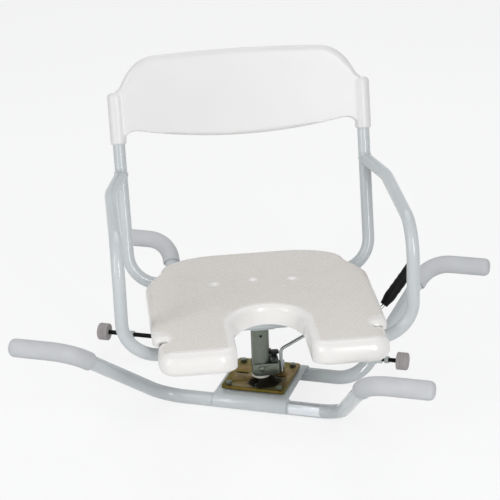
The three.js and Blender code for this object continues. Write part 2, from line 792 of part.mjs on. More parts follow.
function seatHalf() {
  const shape = new THREE.Path();
  shape.moveTo(0, seatRearY);
  shape.lineTo(seatRearFlatHalf, seatRearY);
  const cornerX = rearShoulderX - seatRearFlatHalf;
  const cornerY = seatRearY - rearShoulderY;
  const cornerShares = { flat: 0.58, steep: 0.5 };
  shape.bezierCurveTo(
    seatRearFlatHalf + cornerX * cornerShares.flat, seatRearY,
    rearShoulderX, rearShoulderY + cornerY * cornerShares.steep,
    rearShoulderX, rearShoulderY,
  );
  const flareX = seatHalfWidth - rearShoulderX;
  const flareY = rearShoulderY - sideStartY;
  const flareShares = { out: 0.1, along: 0.28, back: 0.2, down: 0.5 };
  shape.bezierCurveTo(
    rearShoulderX + flareX * flareShares.out, rearShoulderY - flareY * flareShares.along,
    seatHalfWidth - flareX * flareShares.back, sideStartY + flareY * flareShares.down,
    seatHalfWidth, sideStartY,
  );
  const nubX = seatHalfWidth - sideNubRadius;
  shape.lineTo(seatHalfWidth, sideEndY);
  shape.absarc(nubX, sideEndY, sideNubRadius, 0, -Math.PI / 2, true);
  shape.absarc(notchInnerX, notchY, notchHalfWidth, Math.PI / 2, (3 * Math.PI) / 2, false);
  shape.quadraticCurveTo(lobeHalfWidth, notchY - notchHalfWidth, lobeHalfWidth, lobeShoulderY);
  const lobeX = lobeHalfWidth - lobeCornerRadius;
  const lobeY = seatFrontY + lobeCornerRadius;
  shape.absarc(lobeX, lobeY, lobeCornerRadius, 0, -Math.PI / 2, true);
  const innerX = cutoutHalfWidth + lobeCornerRadius;
  shape.absarc(innerX, lobeY, lobeCornerRadius, -Math.PI / 2, -Math.PI, true);
  shape.absarc(0, cutoutCentreY, cutoutHalfWidth, 0, Math.PI / 2, false);
  const points = shape.getPoints(4);
  return points.filter((point, i) => i === 0 || point.distanceTo(points[i - 1]) > clearance);
}

function seatOutline() {
  const right = seatHalf();
  const left = right.slice(1, -1).reverse().map((point) => new THREE.Vector2(-point.x, point.y));
  return [...right, ...left].reverse();
}

function smooth(value, from, to) {
  return THREE.MathUtils.smoothstep((value - from) / (to - from), 0, 1);
}

// Inward direction at a corner of an anticlockwise outline, sized to keep the edges parallel.
function inwardAt(outline, i) {
  const here = outline[i];
  const before = outline[(i + outline.length - 1) % outline.length];
  const after = outline[(i + 1) % outline.length];
  const into = here.clone().sub(before).normalize();
  const out = after.clone().sub(here).normalize();
  const normalInto = new THREE.Vector2(-into.y, into.x);
  const normalOut = new THREE.Vector2(-out.y, out.x);
  return normalInto.add(normalOut).divideScalar(1 + normalInto.dot(normalOut));
}

// The rolled edge at each point of the outline: large along the lobes' fronts, where it goes
// round underneath too, smaller at the sides, and smaller again in the arch.
function edgeRolls(outline) {
  const rolls = [];
  const lowerRolls = [];
  const notchReach = 4 * notchHalfWidth;
  for (const point of outline) {
    const inArch = Math.abs(point.x) < cutoutHalfWidth + lobeCornerRadius && point.y < 0;
    const farOut = Math.abs(point.x) > notchInnerX - notchReach;
    const besideNotch = farOut && Math.abs(point.y - notchY) < notchReach;
    const nearLip = besideNotch ? 0 : smooth(point.y, sideEndY, lobeShoulderY);
    const upArch = smooth(point.y, seatFrontY, seatFrontY + lobeCornerRadius);
    const share = inArch ? upArch : 1 - nearLip;
    rolls.push(THREE.MathUtils.lerp(lipRoll, inArch ? archRoll : sideRoll, share));
    lowerRolls.push(THREE.MathUtils.lerp(lipLowerRoll, seatEdgeChamfer, share));
  }
  return { rolls, lowerRolls };
}

// What is cut away under the sides, which are a thin rim round a deeper core.
function rimUndercut(sideX) {
  const wallX = seatHalfWidth - rimWidth;
  const outX = seatHalfWidth + overrun;
  const low = seatUnderside - overrun;
  const high = seatTop - rimThickness;
  const shape = new THREE.Shape();
  shape.moveTo(sideX * wallX, low);
  shape.lineTo(sideX * outX, low);
  shape.lineTo(sideX * outX, high);
  shape.lineTo(sideX * (wallX + rimDraft), high);
  const solid = new THREE.ExtrudeGeometry(shape, { depth: seatRearY - notchY, bevelEnabled: false });
  return solid.rotateX(Math.PI / 2).translate(0, seatRearY, 0);
}

function buildSeat() {
  const outline = seatOutline();
  const inwards = outline.map((_, i) => inwardAt(outline, i));
  const { rolls, lowerRolls } = edgeRolls(outline);
  const level = (inset, height) => outline.map((point, i) => {
    const shifted = point.clone().addScaledVector(inwards[i], inset(i));
    return new THREE.Vector3(shifted.x, shifted.y, height(i));
  });
  const lowered = 1 - Math.SQRT1_2;
  const rings = [
    level((i) => lowerRolls[i], () => seatUnderside),
    level((i) => lowerRolls[i] * lowered, (i) => seatUnderside + lowerRolls[i] * lowered),
    level(() => 0, (i) => seatUnderside + lowerRolls[i]),
  ];
  const rollSteps = 3;
  for (let k = 0; k <= rollSteps; k++) {
    const angle = (Math.PI / 2) * (k / rollSteps);
    const inset = (i) => rolls[i] * (1 - Math.cos(angle));
    rings.push(level(inset, (i) => seatTop - rolls[i] * (1 - Math.sin(angle))));
  }
  const channel = bored(frameTubeRadius, tubeSides);
  const channels = [frontHoopPath, rearHoopPath].map((path) => tube(path, channel));
  const holes = ends.flatMap(([end]) => seatScrewHoles(crossbarHeight, screwTop + clearance, end));
  const dimples = [-1, 0, 1].map((step) => {
    const bowl = new THREE.SphereGeometry(dimpleRadius, smallSides, smallSides / 2);
    const rise = step === 0 ? dimpleRise : 0;
    const middle = seatTop + dimpleRadius - dimpleDepth;
    return bowl.translate(dimpleX + step * dimpleSpacing, dimpleY + rise, middle);
  });
  const undercuts = sides.map(([, sideX]) => rimUndercut(sideX));
  const cuts = [...channels, ...undercuts, ...holes, ...dimples];
  add(turntable, 'seat', cut(loft(rings), cuts), mouldedPlastic);
  const headTop = crossbarHeight - frameTubeRadius - clearance;
  for (const { name, x, y } of seatScrews) {
    const headBottom = headTop - mouldingScrewHeadHeight;
    const head = turned([
      [0, headBottom], [mouldingScrewHead / 3, headBottom], [mouldingScrewHead / 2, headTop], [0, headTop],
    ], smallSides);
    const shank = rod(mouldingScrewDiameter / 2, headTop - mouldingScrewHeadHeight / 2, screwTop);
    add(turntable, `seat_screw_${name}`, join([head, shank]).translate(x, y, 0), clearZinc);
  }
}

function backPanelOutline() {
  const cornerShares = { flatRun: 0.5, flatFall: 0.05, steepRun: 0.79, steepRise: 0.53 };
  const notchShares = { side: 0.6, peak: 0.45 };
  const cornerWidth = backPanelHalf - backTopHalf;
  const cornerHeight = backTopCorner - backShoulder;
  const socketX = socketCentre(socketEnd);
  const notchX = backPanelHalf - backNotchWidth;
  const half = new THREE.Path();
  half.moveTo(0, backTop);
  half.quadraticCurveTo(backTopHalf / 2, backTop, backTopHalf, backTopCorner);
  half.bezierCurveTo(
    backTopHalf + cornerWidth * cornerShares.flatRun, backTopCorner - cornerHeight * cornerShares.flatFall,
    backTopHalf + cornerWidth * cornerShares.steepRun, backShoulder + cornerHeight * cornerShares.steepRise,
    backPanelHalf, backShoulder,
  );
  half.lineTo(socketX, socketEnd + clearance);
  half.lineTo(socketX, socketStart + backEdgeRoll);
  half.lineTo(backPanelHalf, socketStart + backEdgeRoll);
  half.bezierCurveTo(
    backPanelHalf - backNotchWidth * (1 - notchShares.side), backLowerCorner,
    notchX + backNotchWidth * notchShares.peak, backLowerCorner,
    notchX, backLowerCorner,
  );
  half.quadraticCurveTo(notchX / 2, backLowerMiddle, 0, backLowerMiddle);
  const right = half.getPoints(7);
  const left = right.slice(1, -1).reverse().map((point) => new THREE.Vector2(-point.x, point.y));
  return [...right, ...left].reverse();
}

function buildBackrest() {
  const outline = backPanelOutline();
  const inwards = outline.map((_, i) => inwardAt(outline, i));
  const rolls = outline.map(({ y: height }) => {
    const share = smooth(height, backShoulder, backShoulder + backRollRise);
    return THREE.MathUtils.lerp(backEdgeRoll, backTopRoll, share);
  });
  const rings = [];
  const rollSteps = 2;
  const ringAt = (insetShare, depth) => outline.map((point, i) => {
    const shifted = point.clone().addScaledVector(inwards[i], rolls[i] * insetShare);
    return new THREE.Vector3(shifted.x, depth, shifted.y);
  });
  for (const face of [1, -1]) {
    for (let k = 0; k <= rollSteps; k++) {
      const angle = (Math.PI / 2) * ((face > 0 ? k : rollSteps - k) / rollSteps);
      const depth = backPanelThickness / 2 - backEdgeDepth * (1 - Math.cos(angle));
      rings.push(ringAt(1 - Math.sin(angle), face * depth));
    }
  }
  const panel = loft(rings);
  const radius = socketDiameter / 2;
  const straight = (sideX, from, to) => new BentPath([
    new THREE.Vector3(sideX * socketCentre(from), 0, from),
    new THREE.Vector3(sideX * socketCentre(to), 0, to),
  ], 0);
  const sockets = sides.map(([, sideX]) => {
    return tube(straight(sideX, socketStart, socketEnd), radius, roundSides);
  });
  const boreEnd = backTubeRise + clearance;
  const boreRadius = bored(frameTubeRadius, roundSides);
  const bores = sides.map(([, sideX]) => {
    return tube(straight(sideX, socketStart - overrun, boreEnd), boreRadius, roundSides);
  });
  const screwHole = bored(mouldingScrewDiameter / 2, smallSides);
  const screwBores = sides.map(([, sideX]) => backScrewBar(sideX, screwHole, 0, radius + overrun));
  const whole = join([panel, ...sockets]);
  add(backFrame, 'backrest', cut(whole, [...bores, ...screwBores]), mouldedPlastic);
  const seatOn = radius + clearance;
  for (const [name, sideX] of sides) {
    const head = backScrewBar(sideX, mouldingScrewHead / 2, seatOn, seatOn + mouldingScrewHeadHeight);
    const tip = seatOn - backScrewLength;
    const shank = backScrewBar(sideX, mouldingScrewDiameter / 2, tip, seatOn + mouldingScrewHeadHeight / 2);
    add(backFrame, `back_screw_${name}`, join([head, shank]), clearZinc);
  }
}

// Lock lever: a strap round the post rocks on two screws and carries the tongue and the rod.
const yokeInner = postRadius + clearance;
const yokeOuter = yokeInner + yokeSheet;
const yokeTop = yokeUnderside + yokeHeight;
const noseFace = yokeNoseX + clearance;
const springBottom = yokeTop + clearance;
const springTop = springBottom + springHeight;

function yokeShape() {
  const shape = new THREE.Shape();
  const innerCorner = yokeCorner - yokeSheet;
  const web = yokeNoseX - yokeSheet;
  shape.moveTo(-yokeTailLength, -yokeOuter);
  shape.absarc(yokeNoseX - yokeCorner, yokeCorner - yokeOuter, yokeCorner, -Math.PI / 2, 0, false);
  shape.absarc(yokeNoseX - yokeCorner, yokeOuter - yokeCorner, yokeCorner, 0, Math.PI / 2, false);
  shape.lineTo(-yokeTailLength, yokeOuter);
  shape.lineTo(-yokeTailLength, yokeInner);
  shape.absarc(web - innerCorner, yokeInner - innerCorner, innerCorner, Math.PI / 2, 0, true);
  shape.absarc(web - innerCorner, innerCorner - yokeInner, innerCorner, 0, -Math.PI / 2, true);
  shape.lineTo(-yokeTailLength, -yokeInner);
  return shape;
}

// The strap from the side, with its two tail corners rounded.
function cheekShape() {
  const shape = new THREE.Shape();
  const cornerX = cheekCorner - yokeTailLength;
  shape.moveTo(yokeNoseX + overrun, yokeUnderside);
  shape.lineTo(yokeNoseX + overrun, yokeTop);
  shape.absarc(cornerX, yokeTop - cheekCorner, cheekCorner, Math.PI / 2, Math.PI, false);
  shape.absarc(cornerX, yokeUnderside + cheekCorner, cheekCorner, Math.PI, (3 * Math.PI) / 2, false);
  return shape;
}

function buildYoke() {
  const bent = new THREE.ExtrudeGeometry(yokeShape(), {
    depth: yokeHeight, bevelEnabled: false, curveSegments: 3,
  }).translate(0, 0, yokeUnderside);
  const cheekDepth = 2 * (yokeOuter + overrun);
  const cheeks = new THREE.ExtrudeGeometry(cheekShape(), {
    depth: cheekDepth, bevelEnabled: false, curveSegments: 3,
  }).rotateX(Math.PI / 2).translate(0, cheekDepth / 2, 0);
  const strap = common(bent, cheeks);
  const intoWeb = yokeSheet / 2;
  const tab = new THREE.BoxGeometry(springTabLength - intoWeb, springTabWidth, yokeSheet);
  tab.translate(yokeNoseX - (springTabLength + intoWeb) / 2, 0, yokeTop - yokeSheet / 2);
  const reach = yokeOuter + overrun;
  const screwHole = rod(bored(yokeScrewDiameter / 2, smallSides), -reach, reach);
  screwHole.rotateX(Math.PI / 2).translate(0, 0, yokePivotHeight);
  add(turntable, 'lever_yoke', cut(join([strap, tab]), [screwHole]), clearZinc);
  const seatOn = yokeOuter + clearance;
  const tip = postBoreRadius + clearance;
  for (const [name, sideY] of ends) {
    const head = rod(yokeScrewHead / 2, seatOn, seatOn + yokeScrewHeadHeight);
    const shank = rod(yokeScrewDiameter / 2, tip, seatOn + yokeScrewHeadHeight / 2);
    const screw = join([head, shank]).rotateX((sideY * -Math.PI) / 2).translate(0, 0, yokePivotHeight);
    add(turntable, `yoke_screw_${name}`, screw, clearZinc);
  }
  const tongueBottom = plateTop + clearance;
  const tongue = new THREE.BoxGeometry(tongueLength, tongueThickness, tongueHeight);
  tongue.translate(noseFace + tongueLength / 2, 0, tongueBottom + tongueHeight / 2);
  add(turntable, 'lock_tongue', tongue, clearZinc);
}

function buildLever() {
  const radius = leverRodDiameter / 2;
  const footX = noseFace + radius;
  const wrist = new THREE.Vector3(leverReachX, leverReachY, leverReachHeight);
  const rise = radians(leverGripRiseDegrees);
  const swing = radians(leverGripSwingDegrees);
  const along = new THREE.Vector3(
    Math.cos(rise) * Math.cos(swing), Math.cos(rise) * Math.sin(swing), Math.sin(rise),
  );
  const rodEnd = wrist.clone().addScaledVector(along, leverGripStart + leverGripBore - clearance);
  const path = new BentPath([
    new THREE.Vector3(footX, leverRodY, yokeUnderside + radius),
    new THREE.Vector3(footX, leverRodY, leverElbowHeight),
    new THREE.Vector3(leverKneeX, leverKneeY, leverKneeHeight),
    wrist,
    rodEnd,
  ], [leverRodBend, leverKneeRadius, leverWristRadius]);
  add(turntable, 'lever_rod', tube(path, radius, smallSides), clearZinc);
  const full = leverGripDiameter / 2;
  const neck = leverGripNeck / 2;
  const bore = bored(radius, smallSides);
  const domeShares = { tipRadius: 0.45, tipRise: 0.05, shoulderRadius: 0.85, shoulderRise: 0.15 };
  const grip = turned([
    [bore, 0], [neck, 0], [full, leverGripDiameter], [full, leverGripLength - full],
    [full * domeShares.shoulderRadius, leverGripLength - leverGripDiameter * domeShares.shoulderRise],
    [full * domeShares.tipRadius, leverGripLength - leverGripDiameter * domeShares.tipRise / 2],
    [0, leverGripLength], [0, leverGripBore], [bore, leverGripBore], [bore, 0],
  ], tubeSides);
  const piece = add(turntable, 'lever_grip', grip, blackPlastic);
  piece.quaternion.setFromUnitVectors(new THREE.Vector3(0, 0, 1), along);
  piece.position.copy(wrist).addScaledVector(along, leverGripStart);
}

// The least distance between the wire's surfaces, turn to turn.
function leastGap(stations, wire, turnSteps) {
  let least = Infinity;
  stations.forEach(({ point }, i) => {
    for (let k = i + turnSteps / 2; k < stations.length; k++) {
      least = Math.min(least, point.distanceTo(stations[k].point) - wire);
    }
  });
  return least;
}

function buildSpring() {
  const stations = [];
  const steps = springTurns * springSteps;
  const climb = springHeight - 2 * springWire;
  const up = new THREE.Vector3(0, 0, 1);
  for (let k = 0; k <= steps; k++) {
    const angle = (2 * Math.PI * k) / springSteps;
    const height = springBottom + springWire + (climb * k) / steps;
    const point = new THREE.Vector3(springX, 0, height);
    point.x += springRadius * Math.cos(angle);
    point.y += springRadius * Math.sin(angle);
    const tangent = new THREE.Vector3(-Math.sin(angle), Math.cos(angle), climb / steps / springRadius);
    if (k === 0 || k === steps) tangent.add(up);
    stations.push({ point, tangent: tangent.normalize() });
  }
  const startX = springX + springRadius;
  stations.unshift({ point: new THREE.Vector3(startX, 0, springBottom), tangent: up });
  stations.push({ point: new THREE.Vector3(startX, 0, springTop), tangent: up });
  const gap = leastGap(stations.slice(1, -1), springWire, springSteps);
  console.log(`lock spring: least gap between turns ${gap.toFixed(2)} mm`);
  add(turntable, 'lock_spring', tube(new StationPath(stations), springWire / 2, springSides), blackSteel);
  const shelfBottom = springTop + clearance;
  const shelfLength = keeperNose - yokeInner + keeperSheet;
  const shelf = new THREE.BoxGeometry(shelfLength, keeperWidth, keeperSheet);
  shelf.translate(keeperNose - shelfLength / 2, 0, shelfBottom + keeperSheet / 2);
  const foot = new THREE.BoxGeometry(2 * keeperSheet, keeperWidth, keeperFoot);
  foot.translate(yokeInner, 0, shelfBottom + keeperFoot / 2);
  const saddle = bored(postRadius, roundSides);
  const post = rod(saddle, shelfBottom - overrun, shelfBottom + keeperFoot + overrun, roundSides);
  add(turntable, 'spring_keeper', cut(join([shelf, foot]), [post]), dullZinc);
}

// Stoppers: each rod screws through its boss, and a nut locks it. A reach is from the boss's middle.
function buildStoppers() {
  const reaches = { left: [leftPadReach, leftNutReach], right: [rightPadReach, rightNutReach] };
  for (const [name, sideX] of sides) {
    const [padFace, nutFace] = reaches[name].map((reach) => stopperBossX + reach);
    const place = (geometry) => {
      const outward = alongX(geometry);
      if (sideX < 0) outward.rotateZ(Math.PI);
      return outward.translate(0, stopperY, stopperZ);
    };
    const radius = stopperCapDiameter / 2;
    const bore = bored(stopperRodDiameter / 2, smallSides);
    const inner = padFace - stopperCapLength;
    const socketFloor = inner + stopperCapSocket;
    const cap = turned([
      [0, socketFloor], [bore, socketFloor], [bore, inner], [radius - stopperCapLip, inner],
      [radius, inner + stopperCapLip], [radius, padFace - stopperCapRoll],
      [radius - stopperCapRoll, padFace], [0, padFace],
    ], tubeSides);
    add(bathSeat, `stopper_cap_${name}`, place(cap), greyRubber);
    const rodEnd = socketFloor - clearance;
    const bar = rod(stopperRodDiameter / 2, rodEnd - stopperRodLength, rodEnd);
    add(bathSeat, `stopper_rod_${name}`, place(bar), blackSteel);
    const nut = upright(hexShape(hexAcrossFlats), nutFace, stopperNutThickness);
    const thread = rod(bore, nutFace - overrun, nutFace + stopperNutThickness + overrun);
    add(bathSeat, `stopper_nut_${name}`, place(cut(nut, [thread])), clearZinc);
  }
}

buildBearers();
buildSleeves();
buildPan();
buildLockPlate();
buildPlateFixings();
buildSpindle();
buildPost();
buildHeadPlate();
buildHoops();
buildSeat();
buildBackrest();
buildYoke();
buildLever();
buildSpring();
buildStoppers();

export default bathSeat;
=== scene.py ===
"""A swivel bath seat: the looks of every piece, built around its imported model.

The sections follow the seat as it is put together, from the two bearers that carry it to the
backrest. Sizes are millimetres, in the model's frame: +Z up, +X along the bearers, and the
origin under the swivel post. Meshes are stored in metres.
"""

import math
import random

import bmesh
import bpy
from mathutils import Matrix, Vector


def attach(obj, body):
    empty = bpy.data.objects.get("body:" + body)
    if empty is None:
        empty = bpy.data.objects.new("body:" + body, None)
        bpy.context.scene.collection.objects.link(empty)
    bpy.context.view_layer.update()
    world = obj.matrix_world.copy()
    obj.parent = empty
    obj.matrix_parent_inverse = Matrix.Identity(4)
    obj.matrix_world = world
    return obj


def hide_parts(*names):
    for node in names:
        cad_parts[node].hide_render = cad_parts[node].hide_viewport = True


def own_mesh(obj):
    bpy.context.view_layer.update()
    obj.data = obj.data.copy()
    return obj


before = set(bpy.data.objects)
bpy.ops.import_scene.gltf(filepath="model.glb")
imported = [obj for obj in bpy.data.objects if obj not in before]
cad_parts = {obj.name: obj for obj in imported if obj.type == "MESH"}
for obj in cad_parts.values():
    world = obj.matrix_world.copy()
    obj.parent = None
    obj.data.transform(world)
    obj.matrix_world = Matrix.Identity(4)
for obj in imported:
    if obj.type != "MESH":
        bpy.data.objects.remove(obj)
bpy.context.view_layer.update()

# Bearers
# Two steel tubes lie low across the middle and climb to the raised ends that carry the seat.
# They are cold bent, welded to their stopper bosses and powder coated.
MM = 0.001
OVERALL_WIDTH = 730
BASE_TUBE_RADIUS = 12.5
LOW_RUN_X = 161
LOW_RUN_Y = 66
RAISED_X = 254
RAISED_Y = 250
RAISED_Z = 171.5
BASE_BEND_RADIUS = 58
SLEEVE_END_WALL = 5
BOSS_RADIUS = 8
BOSS_LENGTH = 42
BOSS_BORE = 4.6
BOSS_SIDES = 32
BOSS_WELD_RADIUS = 1.6
STOPPER_Y = 99
WELD_RADIUS = 2
WELD_LOWEST = 0.88
WELD_RIPPLE = 0.16
WELD_RIPPLE_TURN = 0.9
WELD_UNEVENNESS = 0.04
WELD_SIDES = 10
CUT_PAST = 2
SAME_PLACE = 0.001
TUBE_SIDES = 48
SIDES = {"left": -1, "right": 1}
ENDS = {"front": -1, "rear": 1}


def colour(hex_text):
    """An sRGB hex colour as the linear RGBA that Blender's sockets take."""
    linear = []
    for start in (1, 3, 5):
        share = int(hex_text[start:start + 2], 16) / 255
        linear.append(share / 12.92 if share <= 0.04045 else ((share + 0.055) / 1.055) ** 2.4)
    return (*linear, 1)


def set_sockets(owner, node, sockets):
    """Gives a node's sockets their values. A value may be another node's output, as a link."""
    for socket, value in sockets.items():
        if isinstance(value, bpy.types.NodeSocket):
            owner.node_tree.links.new(value, node.inputs[socket])
        else:
            node.inputs[socket].default_value = value


def add_node(owner, kind, sockets, **settings):
    """Adds a node to a material or the world, with its values, links and settings."""
    made = owner.node_tree.nodes.new(kind)
    for name, value in settings.items():
        setattr(made, name, value)
    set_sockets(owner, made, sockets)
    return made


def new_material(name, sockets):
    """A material with only its shader."""
    material = bpy.data.materials.new(name)
    material.use_nodes = True
    shader = material.node_tree.nodes["Principled BSDF"]
    set_sockets(material, shader, sockets)
    return material, shader


def powder_coated_steel():
    """Epoxy-polyester powder, sprayed dry and baked. It flows into a glossy skin with a faint
    orange peel, and lies a little thicker in one place than another."""
    material, shader = new_material("powder_coated_steel", {"IOR": 1.52, "Roughness": 0.14})
    coordinates = add_node(material, "ShaderNodeTexCoord", {}).outputs["Object"]
    peel_size = 2.5 * MM
    peel = add_node(material, "ShaderNodeTexNoise", {
        "Vector": coordinates, "Scale": 1 / peel_size, "Detail": 2.0,
    })
    bump = add_node(material, "ShaderNodeBump", {
        "Height": peel.outputs["Fac"], "Strength": 0.06, "Distance": 0.1 * MM,
    })
    drift_size = 90 * MM
    drift = add_node(material, "ShaderNodeTexNoise", {
        "Vector": coordinates, "Scale": 1 / drift_size, "Detail": 1.0,
    })
    tint = add_node(material, "ShaderNodeMixRGB", {
        "Fac": drift.outputs["Fac"], "Color1": colour("#bfc4c6"), "Color2": colour("#cacfd1"),
    })
    set_sockets(material, shader, {
        "Base Color": tint.outputs["Color"],
        "Normal": bump.outputs["Normal"],
    })
    return material


POWDER_COAT = powder_coated_steel()


def bent_path(corners, radii, step_degrees=3):
    """Straight runs joined by true arcs, as a bender makes them: rows of (point, direction)."""
    points = [Vector(corner) for corner in corners]
    path = [(points[0], (points[1] - points[0]).normalized())]
    for i in range(1, len(points) - 1):
        into = (points[i] - points[i - 1]).normalized()
        out = (points[i + 1] - points[i]).normalized()
        turn = into.angle(out)
        inward = (out - into * into.dot(out)).normalized()
        start = points[i] - into * radii[i - 1] * math.tan(turn / 2)
        steps = max(2, math.ceil(math.degrees(turn) / step_degrees))
        for k in range(steps + 1):
            angle = turn * k / steps
            centre_line = into * math.sin(angle) + inward * (1 - math.cos(angle))
            direction = into * math.cos(angle) + inward * math.sin(angle)
            path.append((start + centre_line * radii[i - 1], direction))
    path.append((points[-1], (points[-1] - points[-2]).normalized()))
    return path


def rings_along(path, radii, sides):
    """Round rings square to a path, with no twist from one to the next."""
    across = path[0][1].orthogonal().normalized()
    rings = []
    for (point, direction), radius in zip(path, radii):
        across = (across - direction * across.dot(direction)).normalized()
        other = direction.cross(across)
        angles = [2 * math.pi * i / sides for i in range(sides)]
        rings.append([point + (across * math.cos(a) + other * math.sin(a)) * radius for a in angles])
    return rings


def skin(rings, loop=False):
    """A mesh over a row of rings that have the same number of points. Its ends are closed, or
    else its last ring joins its first."""
    mesh = bmesh.new()
    rows = [[mesh.verts.new(point) for point in ring] for ring in rings]
    pairs = list(zip(rows, rows[1:]))
    if loop:
        pairs.append((rows[-1], rows[0]))
    for row, following in pairs:
        for i in range(len(row)):
            k = (i + 1) % len(row)
            mesh.faces.new((row[i], row[k], following[k], following[i]))
    if not loop:
        mesh.faces.new(rows[0][::-1])
        mesh.faces.new(rows[-1])
    bmesh.ops.recalc_face_normals(mesh, faces=mesh.faces)
    return mesh


def swept(path, radius, sides=TUBE_SIDES):
    return skin(rings_along(path, [radius] * len(path), sides))


def turned(profile, sides=64):
    """A turned piece about the Z axis. The profile is a closed loop of (radius, height)."""
    angles = [2 * math.pi * i / sides for i in range(sides)]
    rings = [[(radius * math.cos(a), radius * math.sin(a), height) for a in angles]
             for radius, height in profile]
    mesh = skin(rings, loop=True)
    bmesh.ops.remove_doubles(mesh, verts=mesh.verts, dist=SAME_PLACE)
    return mesh


def washer_profile(outer, inner, bottom, top, edge=0.4):
    """The section of a ring whose outer corners are eased by a small chamfer."""
    return [(inner, bottom), (outer - edge, bottom), (outer, bottom + edge),
            (outer, top - edge), (outer - edge, top), (inner, top)]


def joined(meshes):
    """One mesh that holds all of these."""
    whole = bmesh.new()
    for mesh in meshes:
        data = bpy.data.meshes.new("part")
        mesh.to_mesh(data)
        mesh.free()
        whole.from_mesh(data)
        bpy.data.meshes.remove(data)
    return whole


def moved(mesh, matrix):
    mesh.transform(matrix)
    return mesh


def piece(name, mesh, material, body, nodes, place=None, sharp_degrees=35):
    """Stores a mesh in metres as an object that rides on its body and stands for its nodes."""
    data = bpy.data.meshes.new(name)
    mesh.to_mesh(data)
    mesh.free()
    data.transform(Matrix.Scale(MM, 4))
    data.polygons.foreach_set("use_smooth", [True] * len(data.polygons))
    data.set_sharp_from_angle(angle=math.radians(sharp_degrees))
    data.materials.append(material)
    made = bpy.data.objects.new(name, data)
    bpy.context.scene.collection.objects.link(made)
    if place:
        made.matrix_world = place
    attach(made, body)
    if nodes:
        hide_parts(*nodes)
    return made


def weld_bead(line, radius=WELD_RADIUS, loop=True, seed=1):
    """A run of weld along a line of points, with the ripples that the torch leaves."""
    ripples = random.Random(seed)
    path = []
    radii = []
    for i, point in enumerate(line):
        if loop or i + 1 < len(line):
            following = line[(i + 1) % len(line)]
        else:
            following = point * 2 - line[i - 1]
        path.append((point, (following - point).normalized()))
        ripple = WELD_RIPPLE * abs(math.sin(i * WELD_RIPPLE_TURN))
        unevenness = ripples.uniform(-WELD_UNEVENNESS, WELD_UNEVENNESS)
        radii.append(radius * (WELD_LOWEST + ripple + unevenness))
    return skin(rings_along(path, radii, WELD_SIDES), loop=loop)


def round_joint(end, direction, radius, onto, onto_direction, onto_radius):
    """The line where a round tube that runs along a direction meets the side of another."""
    steps = 72
    across = direction.orthogonal().normalized()
    other = direction.cross(across)
    line = []
    for i in range(steps):
        angle = 2 * math.pi * i / steps
        start = end + (across * math.cos(angle) + other * math.sin(angle)) * radius
        flat = direction - onto_direction * direction.dot(onto_direction)
        offset = start - onto
        offset -= onto_direction * offset.dot(onto_direction)
        a = flat.length_squared
        b = 2 * offset.dot(flat)
        c = offset.length_squared - onto_radius ** 2
        reach = (-b - math.sqrt(max(0, b * b - 4 * a * c))) / (2 * a)
        line.append(start + direction * reach)
    return line


def bearer_corners(side_y):
    half = [(LOW_RUN_X, side_y * LOW_RUN_Y, BASE_TUBE_RADIUS),
            (RAISED_X, side_y * RAISED_Y, RAISED_Z),
            (OVERALL_WIDTH / 2 - SLEEVE_END_WALL, side_y * RAISED_Y, RAISED_Z)]
    return [(-x, y, z) for x, y, z in reversed(half)] + half


RISE_SHARE = (STOPPER_Y - LOW_RUN_Y) / (RAISED_Y - LOW_RUN_Y)
BOSS_X = LOW_RUN_X + (RAISED_X - LOW_RUN_X) * RISE_SHARE
BOSS_Z = BASE_TUBE_RADIUS + (RAISED_Z - BASE_TUBE_RADIUS) * RISE_SHARE
ALONG_X = Matrix.Rotation(math.pi / 2, 4, "Y")


def as_object(mesh):
    data = bpy.data.meshes.new("tool")
    mesh.to_mesh(data)
    mesh.free()
    made = bpy.data.objects.new("tool", data)
    bpy.context.scene.collection.objects.link(made)
    return made


def changed(mesh, kind, settings, extras=()):
    """The mesh after one of Blender's modifiers, with what it works with taken away again."""
    made = as_object(mesh)
    modifier = made.modifiers.new(kind, kind)
    for name, value in settings.items():
        setattr(modifier, name, value)
    bpy.context.view_layer.update()
    shaped = made.evaluated_get(bpy.context.evaluated_depsgraph_get())
    result = bmesh.new()
    result.from_mesh(shaped.to_mesh())
    shaped.to_mesh_clear()
    for used in (made, *extras):
        data = used.data
        bpy.data.objects.remove(used)
        bpy.data.meshes.remove(data)
    return result


def carved(mesh, tool):
    """The mesh with everything inside the tool cut away."""
    cutter = as_object(tool)
    return changed(mesh, "BOOLEAN", {"operation": "DIFFERENCE", "solver": "EXACT", "object": cutter},
                   [cutter])


def drilled(tube):
    """The rear bearer's tube with a hole through it at each boss."""
    half = BOSS_LENGTH / 2 + CUT_PAST
    for side_x in SIDES.values():
        drill = turned([(0, -half), (BOSS_BORE, -half), (BOSS_BORE, half), (0, half)], BOSS_SIDES)
        place = Matrix.Translation((side_x * BOSS_X, STOPPER_Y, BOSS_Z)) @ ALONG_X
        tube = carved(tube, moved(drill, place))
    return tube


def stopper_boss(side_x):
    """The round boss with a bead of weld round each side of the tube."""
    half = BOSS_LENGTH / 2
    centre = Vector((side_x * BOSS_X, STOPPER_Y, BOSS_Z))
    boss = turned(washer_profile(BOSS_RADIUS, BOSS_BORE, -half, half), BOSS_SIDES)
    boss = moved(boss, Matrix.Translation(centre) @ ALONG_X)
    rise = Vector((side_x * (RAISED_X - LOW_RUN_X), RAISED_Y - LOW_RUN_Y, RAISED_Z - BASE_TUBE_RADIUS))
    beads = []
    for outward in (-1, 1):
        start = centre + Vector((outward * BOSS_LENGTH, 0, 0))
        line = round_joint(start, Vector((-outward, 0, 0)), BOSS_RADIUS, centre, rise.normalized(),
                           BASE_TUBE_RADIUS)
        beads.append(weld_bead(line, BOSS_WELD_RADIUS, seed=outward + 5))
    return [boss, *beads]


